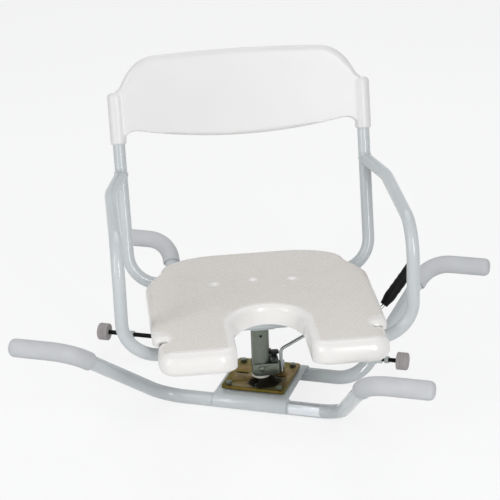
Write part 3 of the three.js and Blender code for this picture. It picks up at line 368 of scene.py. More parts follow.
for end_name, side_y in ENDS.items():
    bearer_path = bent_path(bearer_corners(side_y), [BASE_BEND_RADIUS] * 4)
    bearer = [swept(bearer_path, BASE_TUBE_RADIUS)]
    if end_name == "rear":
        bearer = [drilled(bearer[0])]
        for side_x in SIDES.values():
            bearer += stopper_boss(side_x)
    piece(f"bearer_{end_name}", joined(bearer), POWDER_COAT, "base",
          [f"bearer_tube_{end_name}"])

# Grip sleeves
# Soft closed sleeves of dipped vinyl are pulled over the raised ends and round the bends, so
# that the bearers neither slip nor scratch. Each has a domed tip and a plain open lip.
SLEEVE_RADIUS = 16
SLEEVE_BORE = 12.9
SLEEVE_DOME = 11
SLEEVE_PAST_BEND = 9
SLEEVE_LIP_ROLL = 1.4
SLEEVE_LIP_EASE = 0.4
SLEEVE_MOUTH = 0.5


def dipped_vinyl():
    """Soft vinyl from a dipping mould: matt, a little dusty to the eye, with a fine even
    grain, and faintly lighter where hands rub it."""
    material, shader = new_material("dipped_vinyl", {"IOR": 1.5, "Roughness": 0.62})
    coordinates = add_node(material, "ShaderNodeTexCoord", {}).outputs["Object"]
    grain_size = 1.1 * MM
    grain = add_node(material, "ShaderNodeTexNoise", {
        "Vector": coordinates, "Scale": 1 / grain_size, "Detail": 3.0,
    })
    bump = add_node(material, "ShaderNodeBump", {
        "Height": grain.outputs["Fac"], "Strength": 0.2, "Distance": 0.15 * MM,
    })
    rub_size = 35 * MM
    rub = add_node(material, "ShaderNodeTexNoise", {
        "Vector": coordinates, "Scale": 1 / rub_size, "Detail": 3.0,
    })
    tint = add_node(material, "ShaderNodeMixRGB", {
        "Fac": rub.outputs["Fac"], "Color1": colour("#b9babd"), "Color2": colour("#c9cacc"),
    })
    set_sockets(material, shader, {
        "Base Color": tint.outputs["Color"],
        "Normal": bump.outputs["Normal"],
    })
    return material


VINYL = dipped_vinyl()


def sleeve(side_x, side_y):
    corner = Vector((side_x * RAISED_X, side_y * RAISED_Y, RAISED_Z))
    low = Vector((side_x * LOW_RUN_X, side_y * LOW_RUN_Y, BASE_TUBE_RADIUS))
    tip = Vector((side_x * OVERALL_WIDTH / 2, side_y * RAISED_Y, RAISED_Z))
    down = (low - corner).normalized()
    turn = down.angle(Vector((side_x, 0, 0)))
    lip = corner + down * (BASE_BEND_RADIUS / math.tan(turn / 2) + SLEEVE_PAST_BEND)
    body = bent_path([tip, corner, lip], [BASE_BEND_RADIUS], 2.5)
    inward = Vector((-side_x, 0, 0))
    path = []
    radii = []
    dome_steps = 12
    for k in range(dome_steps):
        angle = math.pi / 2 * (k + 0.5) / dome_steps
        path.append((tip + inward * SLEEVE_DOME * (1 - math.cos(angle)), inward))
        radii.append(SLEEVE_RADIUS * math.sqrt(math.sin(angle)))
    path += [(tip + inward * SLEEVE_DOME, inward), *body[1:-1]]
    radii += [SLEEVE_RADIUS] * (len(path) - len(radii))
    for back, radius in ((SLEEVE_LIP_ROLL, SLEEVE_RADIUS),
                         (SLEEVE_LIP_ROLL / 3, SLEEVE_RADIUS - SLEEVE_LIP_EASE),
                         (0, SLEEVE_RADIUS - SLEEVE_LIP_ROLL), (0, SLEEVE_BORE + SLEEVE_MOUTH),
                         (SLEEVE_LIP_ROLL / 2, SLEEVE_BORE), (SLEEVE_PAST_BEND, SLEEVE_BORE)):
        path.append((lip - down * back, down))
        radii.append(radius)
    return skin(rings_along(path, radii, TUBE_SIDES))


for end_name, side_y in ENDS.items():
    for side_name, side_x in SIDES.items():
        piece(f"sleeve_{end_name}_{side_name}", sleeve(side_x, side_y), VINYL, "base",
              [f"grip_sleeve_{end_name}_{side_name}"])

# Pan
# One steel sheet is folded over both bearers, welded along them and coated with them. It
# carries the lock plate on its flat middle.
PAN_HALF_LENGTH = 67
PAN_SHEET = 3
PAN_INNER = 12.8
PAN_OUTER = PAN_INNER + PAN_SHEET
PAN_WRAP_DEGREES = 112
PAN_TOP = 28.3
PAN_EDGE = 0.8
PAN_WELD_RADIUS = 1.5
PAN_WELD_OUT = 0.3
PAN_WELD_RISE = 1
PAN_WELD_DEGREES = (50, 110)


def softened(mesh, width, angle_degrees=30):
    """Rounds the edges that turn by more than an angle."""
    limit = math.radians(angle_degrees)
    edges = [edge for edge in mesh.edges
             if len(edge.link_faces) == 2 and edge.calc_face_angle(0) > limit]
    bmesh.ops.bevel(mesh, geom=edges, offset=width, segments=2, profile=0.5,
                    affect="EDGES", clamp_overlap=True)
    return mesh


def arc(centre, radius, start_degrees, end_degrees, steps):
    """Points on an arc from one angle to another."""
    angles = [math.radians(start_degrees + (end_degrees - start_degrees) * k / steps)
              for k in range(steps + 1)]
    return [(centre[0] + radius * math.cos(a), centre[1] + radius * math.sin(a)) for a in angles]


def pan_sheet():
    low = 90 - PAN_WRAP_DEGREES
    right, left = (LOW_RUN_Y, BASE_TUBE_RADIUS), (-LOW_RUN_Y, BASE_TUBE_RADIUS)
    steps = 24
    section = arc(right, PAN_OUTER, 90, low, steps) + arc(right, PAN_INNER, low, 90, steps)
    section += arc(left, PAN_INNER, 90, 180 - low, steps) + arc(left, PAN_OUTER, 180 - low, 90, steps)
    rings = [[(x, y, z) for y, z in section] for x in (-PAN_HALF_LENGTH, PAN_HALF_LENGTH)]
    return softened(skin(rings), PAN_EDGE)


def pan_welds():
    """Short beads over the tubes at each end of the pan, where it is welded to them."""
    beads = []
    for side_y in ENDS.values():
        for side_x in SIDES.values():
            x = side_x * (PAN_HALF_LENGTH + PAN_WELD_OUT)
            spots = arc((side_y * LOW_RUN_Y, BASE_TUBE_RADIUS), BASE_TUBE_RADIUS + PAN_WELD_RISE,
                        *PAN_WELD_DEGREES, 24)
            line = [Vector((x, y, z)) for y, z in spots]
            seed = int(side_x + 2 * side_y + 9)
            beads.append(weld_bead(line, PAN_WELD_RADIUS, loop=False, seed=seed))
    return beads


piece("pan", joined([pan_sheet(), *pan_welds()]), POWDER_COAT, "base", ["bearer_pan"])

# Foil tab
# A blank tab of thin foil is stuck on the front bearer, to the right of the pan. It follows
# the tube and shines a little more than the coating round it.
TAB_START_X = 71
TAB_END_X = 153
TAB_STANDOFF = 0.12
TAB_THICKNESS = 0.12
TAB_FROM_DEGREES = 98
TAB_TO_DEGREES = 205


def satin_foil():
    """Metallised polyester film: a satin silver with a faint rolled grain along it."""
    material, shader = new_material("satin_foil", {
        "Base Color": colour("#e3e6ea"), "Metallic": 0.9, "Roughness": 0.26,
    })
    coordinates = add_node(material, "ShaderNodeTexCoord", {}).outputs["Object"]
    stretched = add_node(material, "ShaderNodeMapping", {
        "Vector": coordinates, "Scale": (0.02, 1, 1),
    })
    grain_size = 0.8 * MM
    grain = add_node(material, "ShaderNodeTexNoise", {
        "Vector": stretched.outputs["Vector"], "Scale": 1 / grain_size, "Detail": 1.0,
    })
    bump = add_node(material, "ShaderNodeBump", {
        "Height": grain.outputs["Fac"], "Strength": 0.1, "Distance": 0.05 * MM,
    })
    set_sockets(material, shader, {"Normal": bump.outputs["Normal"]})
    return material


def foil_tab():
    centre = (-LOW_RUN_Y, BASE_TUBE_RADIUS)
    near = BASE_TUBE_RADIUS + TAB_STANDOFF
    outside = arc(centre, near + TAB_THICKNESS, TAB_FROM_DEGREES, TAB_TO_DEGREES, 24)
    inside = arc(centre, near, TAB_TO_DEGREES, TAB_FROM_DEGREES, 24)
    rings = [[(x, y, z) for y, z in outside + inside] for x in (TAB_START_X, TAB_END_X)]
    return skin(rings)


piece("foil_tab", foil_tab(), satin_foil(), "base", [])

# Lock plate and its fixings
# A square steel plate with four slots stands on four spacers over the pan. It is plated with
# zinc and passivated yellow. Four hexagon bolts go through it into nuts under the pan.
PLATE_SIDE = 115
PLATE_CORNER = 5
PLATE_BOTTOM = 31.9
PLATE_TOP = 37.4
PLATE_EDGE = 0.45
BOLT_OFFSET = 46
BOLT_RADIUS = 3
BOLT_HEX = 10
BOLT_HEAD_HEIGHT = 4
BOLT_LENGTH = 25
BOLT_PITCH = 1
BOLT_THREAD_TOP = PAN_TOP - 5
BOLT_TURN_BY_SIDE = 17
BOLT_TURN_BY_END = 40
HEX_FACE_SHARE = 0.46
HEX_CHAMFER_DEGREES = 30
THREAD_DEPTH_SHARE = 0.55
PLATE_NUT_HEIGHT = 5
SPACER_RADIUS = 9
SPACER_BOTTOM = 28.6
SPACER_TOP = 31.6
SLOT_INNER = 23
SLOT_OUTER = 46
SLOT_HALF_WIDTH = 2.5
SPINDLE_RADIUS = 10
GAP = 0.3
# A painted shadow in front of the swivel, and painted shade in the slots and holes of the lock plate.
PAINTED_SHADOW_MIDDLE = (14, -25, 37)
PAINTED_SHADOW_FULL = 35
PAINTED_SHADOW_END = 44
PAINTED_SHADOW_RAGGED = 22
SLOT_SHADE_DEPTH = 1.2
SLOT_SHADE_REACH = 53


def yellow_passivated_zinc():
    """Zinc plate with a yellow chromate film. The film's thickness wanders, so the gold
    drifts to olive and rust in patches, over the faint lines of the rolled sheet. A painted
    shadow lies near black in front of the swivel, and painted shade darkens the slots."""
    material, shader = new_material("yellow_passivated_zinc", {"Roughness": 0.4})
    coordinates = add_node(material, "ShaderNodeTexCoord", {}).outputs["Object"]
    patch_size = 38 * MM
    patches = add_node(material, "ShaderNodeTexNoise", {
        "Vector": coordinates, "Scale": 1 / patch_size, "Detail": 3.0, "Distortion": 0.6,
    })
    spread = add_node(material, "ShaderNodeMapRange", {
        "Value": patches.outputs["Fac"], "From Min": 0.35, "From Max": 0.65,
    })
    gold = add_node(material, "ShaderNodeMixRGB", {
        "Fac": spread.outputs["Result"], "Color1": colour("#7c6434"), "Color2": colour("#625c1a"),
    })
    rust_size = 16 * MM
    rust = add_node(material, "ShaderNodeTexNoise", {
        "Vector": coordinates, "Scale": 1 / rust_size, "Detail": 4.0, "Distortion": 1.0,
    })
    rust_share = add_node(material, "ShaderNodeMapRange", {
        "Value": rust.outputs["Fac"], "From Min": 0.5, "From Max": 0.75, "To Max": 0.7,
    })
    tint = add_node(material, "ShaderNodeMixRGB", {
        "Fac": rust_share.outputs["Result"], "Color1": gold.outputs["Color"],
        "Color2": colour("#4c3a1a"),
    })
    # Painted shadow: a ragged near-black patch on the plate in front of the swivel, where the post and
    # lever shade it.
    from_painted_shadow = add_node(material, "ShaderNodeVectorMath", {
        0: coordinates, 1: tuple(value * MM for value in PAINTED_SHADOW_MIDDLE),
    }, operation="DISTANCE")
    ragged = add_node(material, "ShaderNodeMath", {
        0: rust.outputs["Fac"], 1: PAINTED_SHADOW_RAGGED * MM, 2: from_painted_shadow.outputs["Value"],
    }, operation="MULTIPLY_ADD")
    painted_shadow = add_node(material, "ShaderNodeMapRange", {
        "Value": ragged.outputs["Value"], "From Min": PAINTED_SHADOW_FULL * MM, "From Max": PAINTED_SHADOW_END * MM,
        "To Min": 0.97, "To Max": 0.0,
    }, interpolation_type="SMOOTHSTEP")
    # Painted shade: faces below the plate's top near its middle, which are the walls of the slots and
    # holes, are painted dark.
    height = add_node(material, "ShaderNodeSeparateXYZ", {"Vector": coordinates}).outputs["Z"]
    deep = add_node(material, "ShaderNodeMapRange", {
        "Value": height, "From Min": (PLATE_TOP - SLOT_SHADE_DEPTH) * MM, "From Max": (PLATE_TOP - GAP) * MM,
        "To Min": 0.95, "To Max": 0.0,
    })
    level = add_node(material, "ShaderNodeMapping", {"Vector": coordinates, "Scale": (1, 1, 0)})
    reach = add_node(material, "ShaderNodeVectorMath", {
        "Vector": level.outputs["Vector"],
    }, operation="LENGTH")
    inside = add_node(material, "ShaderNodeMath", {
        0: reach.outputs["Value"], 1: SLOT_SHADE_REACH * MM,
    }, operation="LESS_THAN")
    slot_shade = add_node(material, "ShaderNodeMath", {
        0: deep.outputs["Result"], 1: inside.outputs["Value"],
    }, operation="MULTIPLY")
    dark = add_node(material, "ShaderNodeMath", {
        0: painted_shadow.outputs["Result"], 1: slot_shade.outputs["Value"],
    }, operation="MAXIMUM")
    # The painted shadow and shade turn the colour near black, and take away the metal's shine and
    # reflection.
    shade_painted_tint = add_node(material, "ShaderNodeMixRGB", {
        "Fac": dark.outputs["Value"], "Color1": tint.outputs["Color"], "Color2": colour("#0c0a07"),
    })
    for socket, unshaded, shaded in (("Metallic", 0.85, 0), ("Specular IOR Level", 0.5, 0.02)):
        share = add_node(material, "ShaderNodeMapRange", {
            "Value": dark.outputs["Value"], "To Min": unshaded, "To Max": shaded,
        })
        set_sockets(material, shader, {socket: share.outputs["Result"]})
    rolled = add_node(material, "ShaderNodeMapping", {"Vector": coordinates, "Scale": (0.04, 1, 1)})
    line_spacing = 0.6 * MM
    lines = add_node(material, "ShaderNodeTexNoise", {
        "Vector": rolled.outputs["Vector"], "Scale": 1 / line_spacing, "Detail": 2.0,
    })
    bump = add_node(material, "ShaderNodeBump", {
        "Height": lines.outputs["Fac"], "Strength": 0.12, "Distance": 0.05 * MM,
    })
    set_sockets(material, shader, {
        "Base Color": shade_painted_tint.outputs["Color"],
        "Normal": bump.outputs["Normal"],
    })
    return material


def clear_passivated_zinc():
    """Bright zinc plate with a clear film: cool silver with a cloudy, slightly uneven shine."""
    material, shader = new_material("clear_passivated_zinc", {"Metallic": 0.95})
    coordinates = add_node(material, "ShaderNodeTexCoord", {}).outputs["Object"]
    cloud_size = 9 * MM
    clouds = add_node(material, "ShaderNodeTexNoise", {
        "Vector": coordinates, "Scale": 1 / cloud_size, "Detail": 4.0,
    })
    tint = add_node(material, "ShaderNodeMixRGB", {
        "Fac": clouds.outputs["Fac"], "Color1": colour("#8f9393"), "Color2": colour("#b3b6b6"),
    })
    shine = add_node(material, "ShaderNodeMapRange", {
        "Value": clouds.outputs["Fac"], "To Min": 0.16, "To Max": 0.34,
    })
    set_sockets(material, shader, {
        "Base Color": tint.outputs["Color"],
        "Roughness": shine.outputs["Result"],
    })
    return material


def dull_plated_zinc():
    """Zinc plate gone dull and slightly olive, as it does in damp air: a soft shine, with faint
    upright lines as drawn tube has, and a darker bloom here and there."""
    material, shader = new_material("dull_plated_zinc", {"Metallic": 0.8})
    coordinates = add_node(material, "ShaderNodeTexCoord", {}).outputs["Object"]
    bloom_size = 14 * MM
    bloom = add_node(material, "ShaderNodeTexNoise", {
        "Vector": coordinates, "Scale": 1 / bloom_size, "Detail": 5.0, "Distortion": 0.4,
    })
    tint = add_node(material, "ShaderNodeMixRGB", {
        "Fac": bloom.outputs["Fac"], "Color1": colour("#666c62"), "Color2": colour("#848a7f"),
    })
    shine = add_node(material, "ShaderNodeMapRange", {
        "Value": bloom.outputs["Fac"], "To Min": 0.34, "To Max": 0.55,
    })
    drawn = add_node(material, "ShaderNodeMapping", {"Vector": coordinates, "Scale": (1, 1, 0.03)})
    line_spacing = 0.7 * MM
    lines = add_node(material, "ShaderNodeTexNoise", {
        "Vector": drawn.outputs["Vector"], "Scale": 1 / line_spacing, "Detail": 2.0,
    })
    bump = add_node(material, "ShaderNodeBump", {
        "Height": lines.outputs["Fac"], "Strength": 0.12, "Distance": 0.05 * MM,
    })
    set_sockets(material, shader, {
        "Base Color": tint.outputs["Color"],
        "Roughness": shine.outputs["Result"],
        "Normal": bump.outputs["Normal"],
    })
    return material


YELLOW_ZINC = yellow_passivated_zinc()
CLEAR_ZINC = clear_passivated_zinc()
DULL_ZINC = dull_plated_zinc()


def prism(outline, bottom, top):
    """A flat piece with upright sides, from its outline."""
    return skin([[(x, y, height) for x, y in outline] for height in (bottom, top)])


def rounded_rectangle(width, depth, corner, steps=8):
    x, y = width / 2 - corner, depth / 2 - corner
    outline = []
    for centre, start in (((x, y), 0), ((-x, y), 90), ((-x, -y), 180), ((x, -y), 270)):
        outline += arc(centre, corner, start, start + 90, steps)
    return outline


def circle(radius, centre=(0, 0), steps=48):
    return arc(centre, radius, 0, 360, steps)[:-1]


def lock_plate():
    plate = prism(rounded_rectangle(PLATE_SIDE, PLATE_SIDE, PLATE_CORNER), PLATE_BOTTOM, PLATE_TOP)
    low, high = PLATE_BOTTOM - CUT_PAST, PLATE_TOP + CUT_PAST
    cuts = [prism(circle(SPINDLE_RADIUS + GAP), low, high)]
    for side_x in SIDES.values():
        for side_y in ENDS.values():
            place = (side_x * BOLT_OFFSET, side_y * BOLT_OFFSET)
            cuts.append(prism(circle(BOLT_RADIUS + GAP, place, 24), low, high))
    slot = arc((SLOT_OUTER - SLOT_HALF_WIDTH, 0), SLOT_HALF_WIDTH, -90, 90, 10)
    slot += arc((SLOT_INNER + SLOT_HALF_WIDTH, 0), SLOT_HALF_WIDTH, 90, 270, 10)
    for quarter in range(4):
        turn = Matrix.Rotation(quarter * math.pi / 2, 4, "Z")
        cuts.append(moved(prism(slot, low, high), turn))
    return softened(carved(plate, joined(cuts)), PLATE_EDGE)


def hex_reach(angle, across):
    """How far a hexagon's side lies from its middle in a direction."""
    sixth = math.pi / 3
    return across / 2 / math.cos((angle % sixth) - sixth / 2)


def hex_rings(across, bottom, top, low_chamfer, high_chamfer):
    """Rings round a hexagon whose corners are turned off at a slope, as on a real nut."""
    steps = 72
    face = HEX_FACE_SHARE * across
    slope = math.tan(math.radians(HEX_CHAMFER_DEGREES))
    angles = [2 * math.pi * i / steps for i in range(steps)]
    reaches = [hex_reach(angle, across) for angle in angles]
    drops = [(reach - face) * slope for reach in reaches]

    def ring(radii, heights):
        return [Vector((radius * math.cos(a), radius * math.sin(a), height))
                for a, radius, height in zip(angles, radii, heights)]

    rings = [ring(reaches, [bottom + drop * low_chamfer for drop in drops]),
             ring(reaches, [top - drop * high_chamfer for drop in drops])]
    if low_chamfer:
        rings.insert(0, ring([face] * steps, [bottom] * steps))
    if high_chamfer:
        rings.append(ring([face] * steps, [top] * steps))
    return rings


def threaded(radius, pitch, bottom, top, sides=24):
    """A screw thread about the Z axis: one strip wound round a core and cut off flat. The
    section gives the strip's reach at shares of the pitch."""
    root = radius - THREAD_DEPTH_SHARE * pitch
    section = ((0, root), (0.2, root), (0.45, radius), (0.75, radius), (1, root))
    mesh = bmesh.new()
    columns = []
    for n in range(math.ceil((top - bottom) / pitch + 1) * sides + 1):
        angle = 2 * math.pi * n / sides
        column = []
        for share, reach in section:
            height = min(max(bottom + pitch * (n / sides + share - 1), bottom), top)
            column.append(mesh.verts.new((reach * math.cos(angle), reach * math.sin(angle), height)))
        columns.append(column)
    for column, following in zip(columns, columns[1:]):
        for i in range(len(section) - 1):
            mesh.faces.new((column[i], following[i], following[i + 1], column[i + 1]))
    bmesh.ops.remove_doubles(mesh, verts=mesh.verts, dist=SAME_PLACE)
    return joined([mesh, prism(circle(root), bottom, top)])


def bolt():
    """A hexagon bolt that hangs from its head's seat, with the thread's end under its nut."""
    head_bottom = PLATE_TOP + GAP
    tip = head_bottom - BOLT_LENGTH
    head = skin(hex_rings(BOLT_HEX, head_bottom, head_bottom + BOLT_HEAD_HEIGHT, False, True))
    return joined([head, prism(circle(BOLT_RADIUS), BOLT_THREAD_TOP, head_bottom + 1),
                   threaded(BOLT_RADIUS, BOLT_PITCH, tip, BOLT_THREAD_TOP)])


def nut(across, bottom, height, bore):
    rings = hex_rings(across, bottom, bottom + height, True, True)
    inside = [[Vector((x, y, z)) for x, y in circle(bore, steps=len(rings[0]))]
              for z in (bottom + height, bottom)]
    return skin([*rings, *inside], loop=True)


piece("lock_plate_plated", lock_plate(), YELLOW_ZINC, "base", ["lock_plate"])
NUT_TOP = PAN_TOP - PAN_SHEET - GAP
for end_name, side_y in ENDS.items():
    for side_name, side_x in SIDES.items():
        corner_name = f"{end_name}_{side_name}"
        place = Matrix.Translation((side_x * BOLT_OFFSET, side_y * BOLT_OFFSET, 0))
        turn_degrees = BOLT_TURN_BY_SIDE * side_x + BOLT_TURN_BY_END * side_y
        turn = Matrix.Rotation(math.radians(turn_degrees), 4, "Z")
        piece(f"bolt_{corner_name}", moved(bolt(), place @ turn), DULL_ZINC, "base",
              [f"plate_bolt_{corner_name}"])
        spacer = turned(washer_profile(SPACER_RADIUS, BOLT_RADIUS + GAP, SPACER_BOTTOM, SPACER_TOP))
        piece(f"spacer_{corner_name}", moved(spacer, place), CLEAR_ZINC, "base",
              [f"plate_spacer_{corner_name}"])
        held = nut(BOLT_HEX, NUT_TOP - PLATE_NUT_HEIGHT, PLATE_NUT_HEIGHT, BOLT_RADIUS + GAP)
        piece(f"nut_{corner_name}", moved(held, place), CLEAR_ZINC, "base",
              [f"plate_nut_{corner_name}"])

# Spindle and thrust ring
# A turned spindle is clamped by its foot under the lock plate and stands inside the post. A
# nylon ring on the plate carries the post. The spindle is zinc plated and hidden.
SPINDLE_FOOT_RADIUS = 22
SPINDLE_TOP = 130.6
SPINDLE_CHAMFER = 1
THRUST_RING_RADIUS = 17
THRUST_RING_BOTTOM = 37.7
THRUST_RING_TOP = 41.7


def turned_nylon(name, low_tint, high_tint):
    """Nylon turned from bar: a low waxy shine that the tool's fine marks break up."""
    material, shader = new_material(name, {"IOR": 1.53, "Roughness": 0.45})
    coordinates = add_node(material, "ShaderNodeTexCoord", {}).outputs["Object"]
    tool_mark = 1.2 * MM
    marks = add_node(material, "ShaderNodeTexNoise", {
        "Vector": coordinates, "Scale": 1 / tool_mark,
    })
    tint = add_node(material, "ShaderNodeMixRGB", {
        "Fac": marks.outputs["Fac"], "Color1": colour(low_tint), "Color2": colour(high_tint),
    })
    set_sockets(material, shader, {"Base Color": tint.outputs["Color"]})
    return material


NYLON = turned_nylon("natural_nylon", "#e2dfd3", "#efece2")
BLACK_NYLON = turned_nylon("black_nylon", "#0f0f0e", "#181716")
spindle = turned([(0, SPACER_BOTTOM), (SPINDLE_FOOT_RADIUS, SPACER_BOTTOM),
                  (SPINDLE_FOOT_RADIUS, SPACER_TOP), (SPINDLE_RADIUS, SPACER_TOP),
                  (SPINDLE_RADIUS, SPINDLE_TOP - SPINDLE_CHAMFER),
                  (SPINDLE_RADIUS - SPINDLE_CHAMFER, SPINDLE_TOP), (0, SPINDLE_TOP)])
piece("spindle_turned", spindle, CLEAR_ZINC, "base", ["spindle"])
thrust_ring = turned(washer_profile(THRUST_RING_RADIUS, SPINDLE_RADIUS + GAP, THRUST_RING_BOTTOM,
                                    THRUST_RING_TOP))
piece("thrust_ring_turned", thrust_ring, NYLON, "base", ["thrust_ring"])

# Swivel post
# A piece of zinc plated steel tube turns on two black nylon bushes round the spindle. It has a
# small sight hole near its top, and two holes for the screws that the lock lever rocks on.
SEAT_TURN = Matrix.Rotation(math.radians(22.75), 4, "Z")
POST_RADIUS = 16
POST_BORE = 13.5
POST_BOTTOM = 42
POST_TOP = 155
POST_EDGE = 0.5
POST_SIDES = 96
SIGHT_HOLE_RADIUS = 2.5
SIGHT_HOLE_HEIGHT = 120
PIVOT_HEIGHT = 57
PIVOT_RADIUS = 3


def across_post(radius, reach_from, reach_to, height, steps=32):
    """A round bar through the post, from front to back of the seat."""
    bar = prism(circle(radius, steps=steps), reach_from, reach_to)
    return moved(bar, Matrix.Translation((0, 0, height)) @ Matrix.Rotation(math.pi / 2, 4, "X"))


past_post = POST_RADIUS + CUT_PAST
post_holes = [across_post(SIGHT_HOLE_RADIUS, 0, past_post, SIGHT_HOLE_HEIGHT),
              across_post(PIVOT_RADIUS + GAP, -past_post, past_post, PIVOT_HEIGHT)]
post = turned(washer_profile(POST_RADIUS, POST_BORE, POST_BOTTOM, POST_TOP, POST_EDGE), POST_SIDES)
post = carved(post, joined(post_holes))
piece("post", post, DULL_ZINC, "turning_seat", ["swivel_post"], SEAT_TURN)
for name, material, slot_name in (("bush_lower", BLACK_NYLON, "bush_nylon"),
                                  ("bush_upper", BLACK_NYLON, "bush_nylon"),
                                  ("retaining_washer", CLEAR_ZINC, "clear_zinc"),
                                  ("retaining_screw", CLEAR_ZINC, "clear_zinc")):
    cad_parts[name].data.materials.clear()
    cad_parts[name].data.materials.append(material)

# Head plate
# A flat steel bar with rounded corners is welded over the post and under both crossbars of
# the seat frame. A hole over the post lets a spanner reach the screw that keeps the seat on.
FRAME_TUBE_RADIUS = 11
CROSSBAR_Z = 171.6
FRONT_CROSSBAR_Y = -70
BACK_CROSSBAR_Y = 128.5
HEAD_PLATE_WIDTH = 46
HEAD_PLATE_FRONT_Y = -66
HEAD_PLATE_REAR_Y = 142.5
HEAD_PLATE_CORNER = 8
HEAD_PLATE_BOTTOM = 155.3
HEAD_PLATE_TOP = 160.3
HEAD_PLATE_EDGE = 0.7
HEAD_HOLE_RADIUS = 10
CROSSBAR_WELD_RADIUS = 1.9
CROSSBAR_WELD_OUT = 6.5
CROSSBAR_WELD_RISE = 1
CROSSBAR_WELD_END = 3
POST_WELD_RADIUS = 1.8
POST_WELD_OUT = 0.8
POST_WELD_DROP = 0.4


def head_plate():
    length = HEAD_PLATE_REAR_Y - HEAD_PLATE_FRONT_Y
    plate = prism(rounded_rectangle(HEAD_PLATE_WIDTH, length, HEAD_PLATE_CORNER),
                  HEAD_PLATE_BOTTOM, HEAD_PLATE_TOP)
    plate = moved(plate, Matrix.Translation((0, (HEAD_PLATE_FRONT_Y + HEAD_PLATE_REAR_Y) / 2, 0)))
    hole = prism(circle(HEAD_HOLE_RADIUS), HEAD_PLATE_BOTTOM - CUT_PAST, HEAD_PLATE_TOP + CUT_PAST)
    return softened(carved(plate, hole), HEAD_PLATE_EDGE)


def head_plate_welds():
    """Beads along the sides of the crossbars, and one round the head of the post."""
    beads = []
    half = HEAD_PLATE_WIDTH / 2 - CROSSBAR_WELD_END
    weld_z = HEAD_PLATE_TOP + CROSSBAR_WELD_RISE
    steps = 28
    for weld_y in (FRONT_CROSSBAR_Y + CROSSBAR_WELD_OUT, BACK_CROSSBAR_Y - CROSSBAR_WELD_OUT,
                   BACK_CROSSBAR_Y + CROSSBAR_WELD_OUT):
        line = [Vector((-half + 2 * half * k / steps, weld_y, weld_z)) for k in range(steps + 1)]
        beads.append(weld_bead(line, CROSSBAR_WELD_RADIUS, loop=False, seed=int(weld_y)))
    round_post = [Vector((x, y, POST_TOP - POST_WELD_DROP))
                  for x, y in circle(POST_RADIUS + POST_WELD_OUT, steps=64)]
    beads.append(weld_bead(round_post, POST_WELD_RADIUS, seed=31))
    return beads


piece("head_plate_coated", joined([head_plate(), *head_plate_welds()]), POWDER_COAT, "turning_seat",
      ["head_plate"], SEAT_TURN)

# Seat frame
# Two hoops of coated steel tube. The rear one stands up behind the seat and carries the back.
# The front one runs under the seat, up its sides and back as the two arms, and is welded to
# the rear one.
BACK_SIDE = 219
BACK_LEAN = math.radians(16.8)
BACK_SPLAY = math.radians(0.6)
BACK_TUBE_RISE = 338
BACK_BEND_RADIUS = 58
FRONT_CROSSBAR_HALF = 92
ARM_LEG_Y = -163
ARM_CRANK_X = 150
ARM_CRANK_RADIUS = 40
ARM_X = 244
ARM_HEIGHT = 365.5
ARM_BEND_RADIUS = 62
ARM_ELBOW_Y = 90
ARM_ELBOW_RADIUS = 110
ARM_WELD_REACH = 30


def back_tube_point(side_x, along):
    return Vector((side_x * (BACK_SIDE + along * math.tan(BACK_SPLAY)),
                   BACK_CROSSBAR_Y + along * math.sin(BACK_LEAN),
                   CROSSBAR_Z + along * math.cos(BACK_LEAN)))


def arm_half():
    joint = (ARM_HEIGHT - CROSSBAR_Z) / math.cos(BACK_LEAN)
    return [Vector((FRONT_CROSSBAR_HALF, FRONT_CROSSBAR_Y, CROSSBAR_Z)),
            Vector((ARM_CRANK_X, ARM_LEG_Y, CROSSBAR_Z)),
            Vector((ARM_X, ARM_LEG_Y, CROSSBAR_Z)),
            Vector((ARM_X, ARM_LEG_Y, ARM_HEIGHT)),
            Vector((ARM_X, ARM_ELBOW_Y, ARM_HEIGHT)),
            back_tube_point(1, joint)]


REAR_PATH = bent_path([back_tube_point(-1, BACK_TUBE_RISE), back_tube_point(-1, 0),
                       back_tube_point(1, 0), back_tube_point(1, BACK_TUBE_RISE)],
                      [BACK_BEND_RADIUS] * 2)
RIGHT_ARM = arm_half()
LEFT_ARM = [Vector((-point.x, point.y, point.z)) for point in reversed(RIGHT_ARM)]
ARM_RADII = [ARM_CRANK_RADIUS, ARM_CRANK_RADIUS, ARM_BEND_RADIUS, ARM_BEND_RADIUS, ARM_ELBOW_RADIUS]
FRONT_PATH = bent_path(LEFT_ARM + RIGHT_ARM, ARM_RADII[::-1] + ARM_RADII)


def arm_welds():
    """A bead round the end of each arm, where it meets the back tube."""
    beads = []
    for side_x in SIDES.values():
        joint, elbow = RIGHT_ARM[-1].copy(), RIGHT_ARM[-2].copy()
        joint.x *= side_x
        elbow.x *= side_x
        run = (joint - elbow).normalized()
        upward = (back_tube_point(side_x, 1) - back_tube_point(side_x, 0)).normalized()
        start = joint - run * ARM_WELD_REACH
        line = round_joint(start, run, FRAME_TUBE_RADIUS, joint, upward, FRAME_TUBE_RADIUS)
        beads.append(weld_bead(line, seed=int(side_x) + 70))
    return beads


piece("rear_hoop_tube", swept(REAR_PATH, FRAME_TUBE_RADIUS), POWDER_COAT, "turning_seat",
      ["rear_hoop"], SEAT_TURN)
piece("front_hoop_tube", joined([swept(FRONT_PATH, FRAME_TUBE_RADIUS), *arm_welds()]), POWDER_COAT,
      "turning_seat", ["front_hoop"], SEAT_TURN)

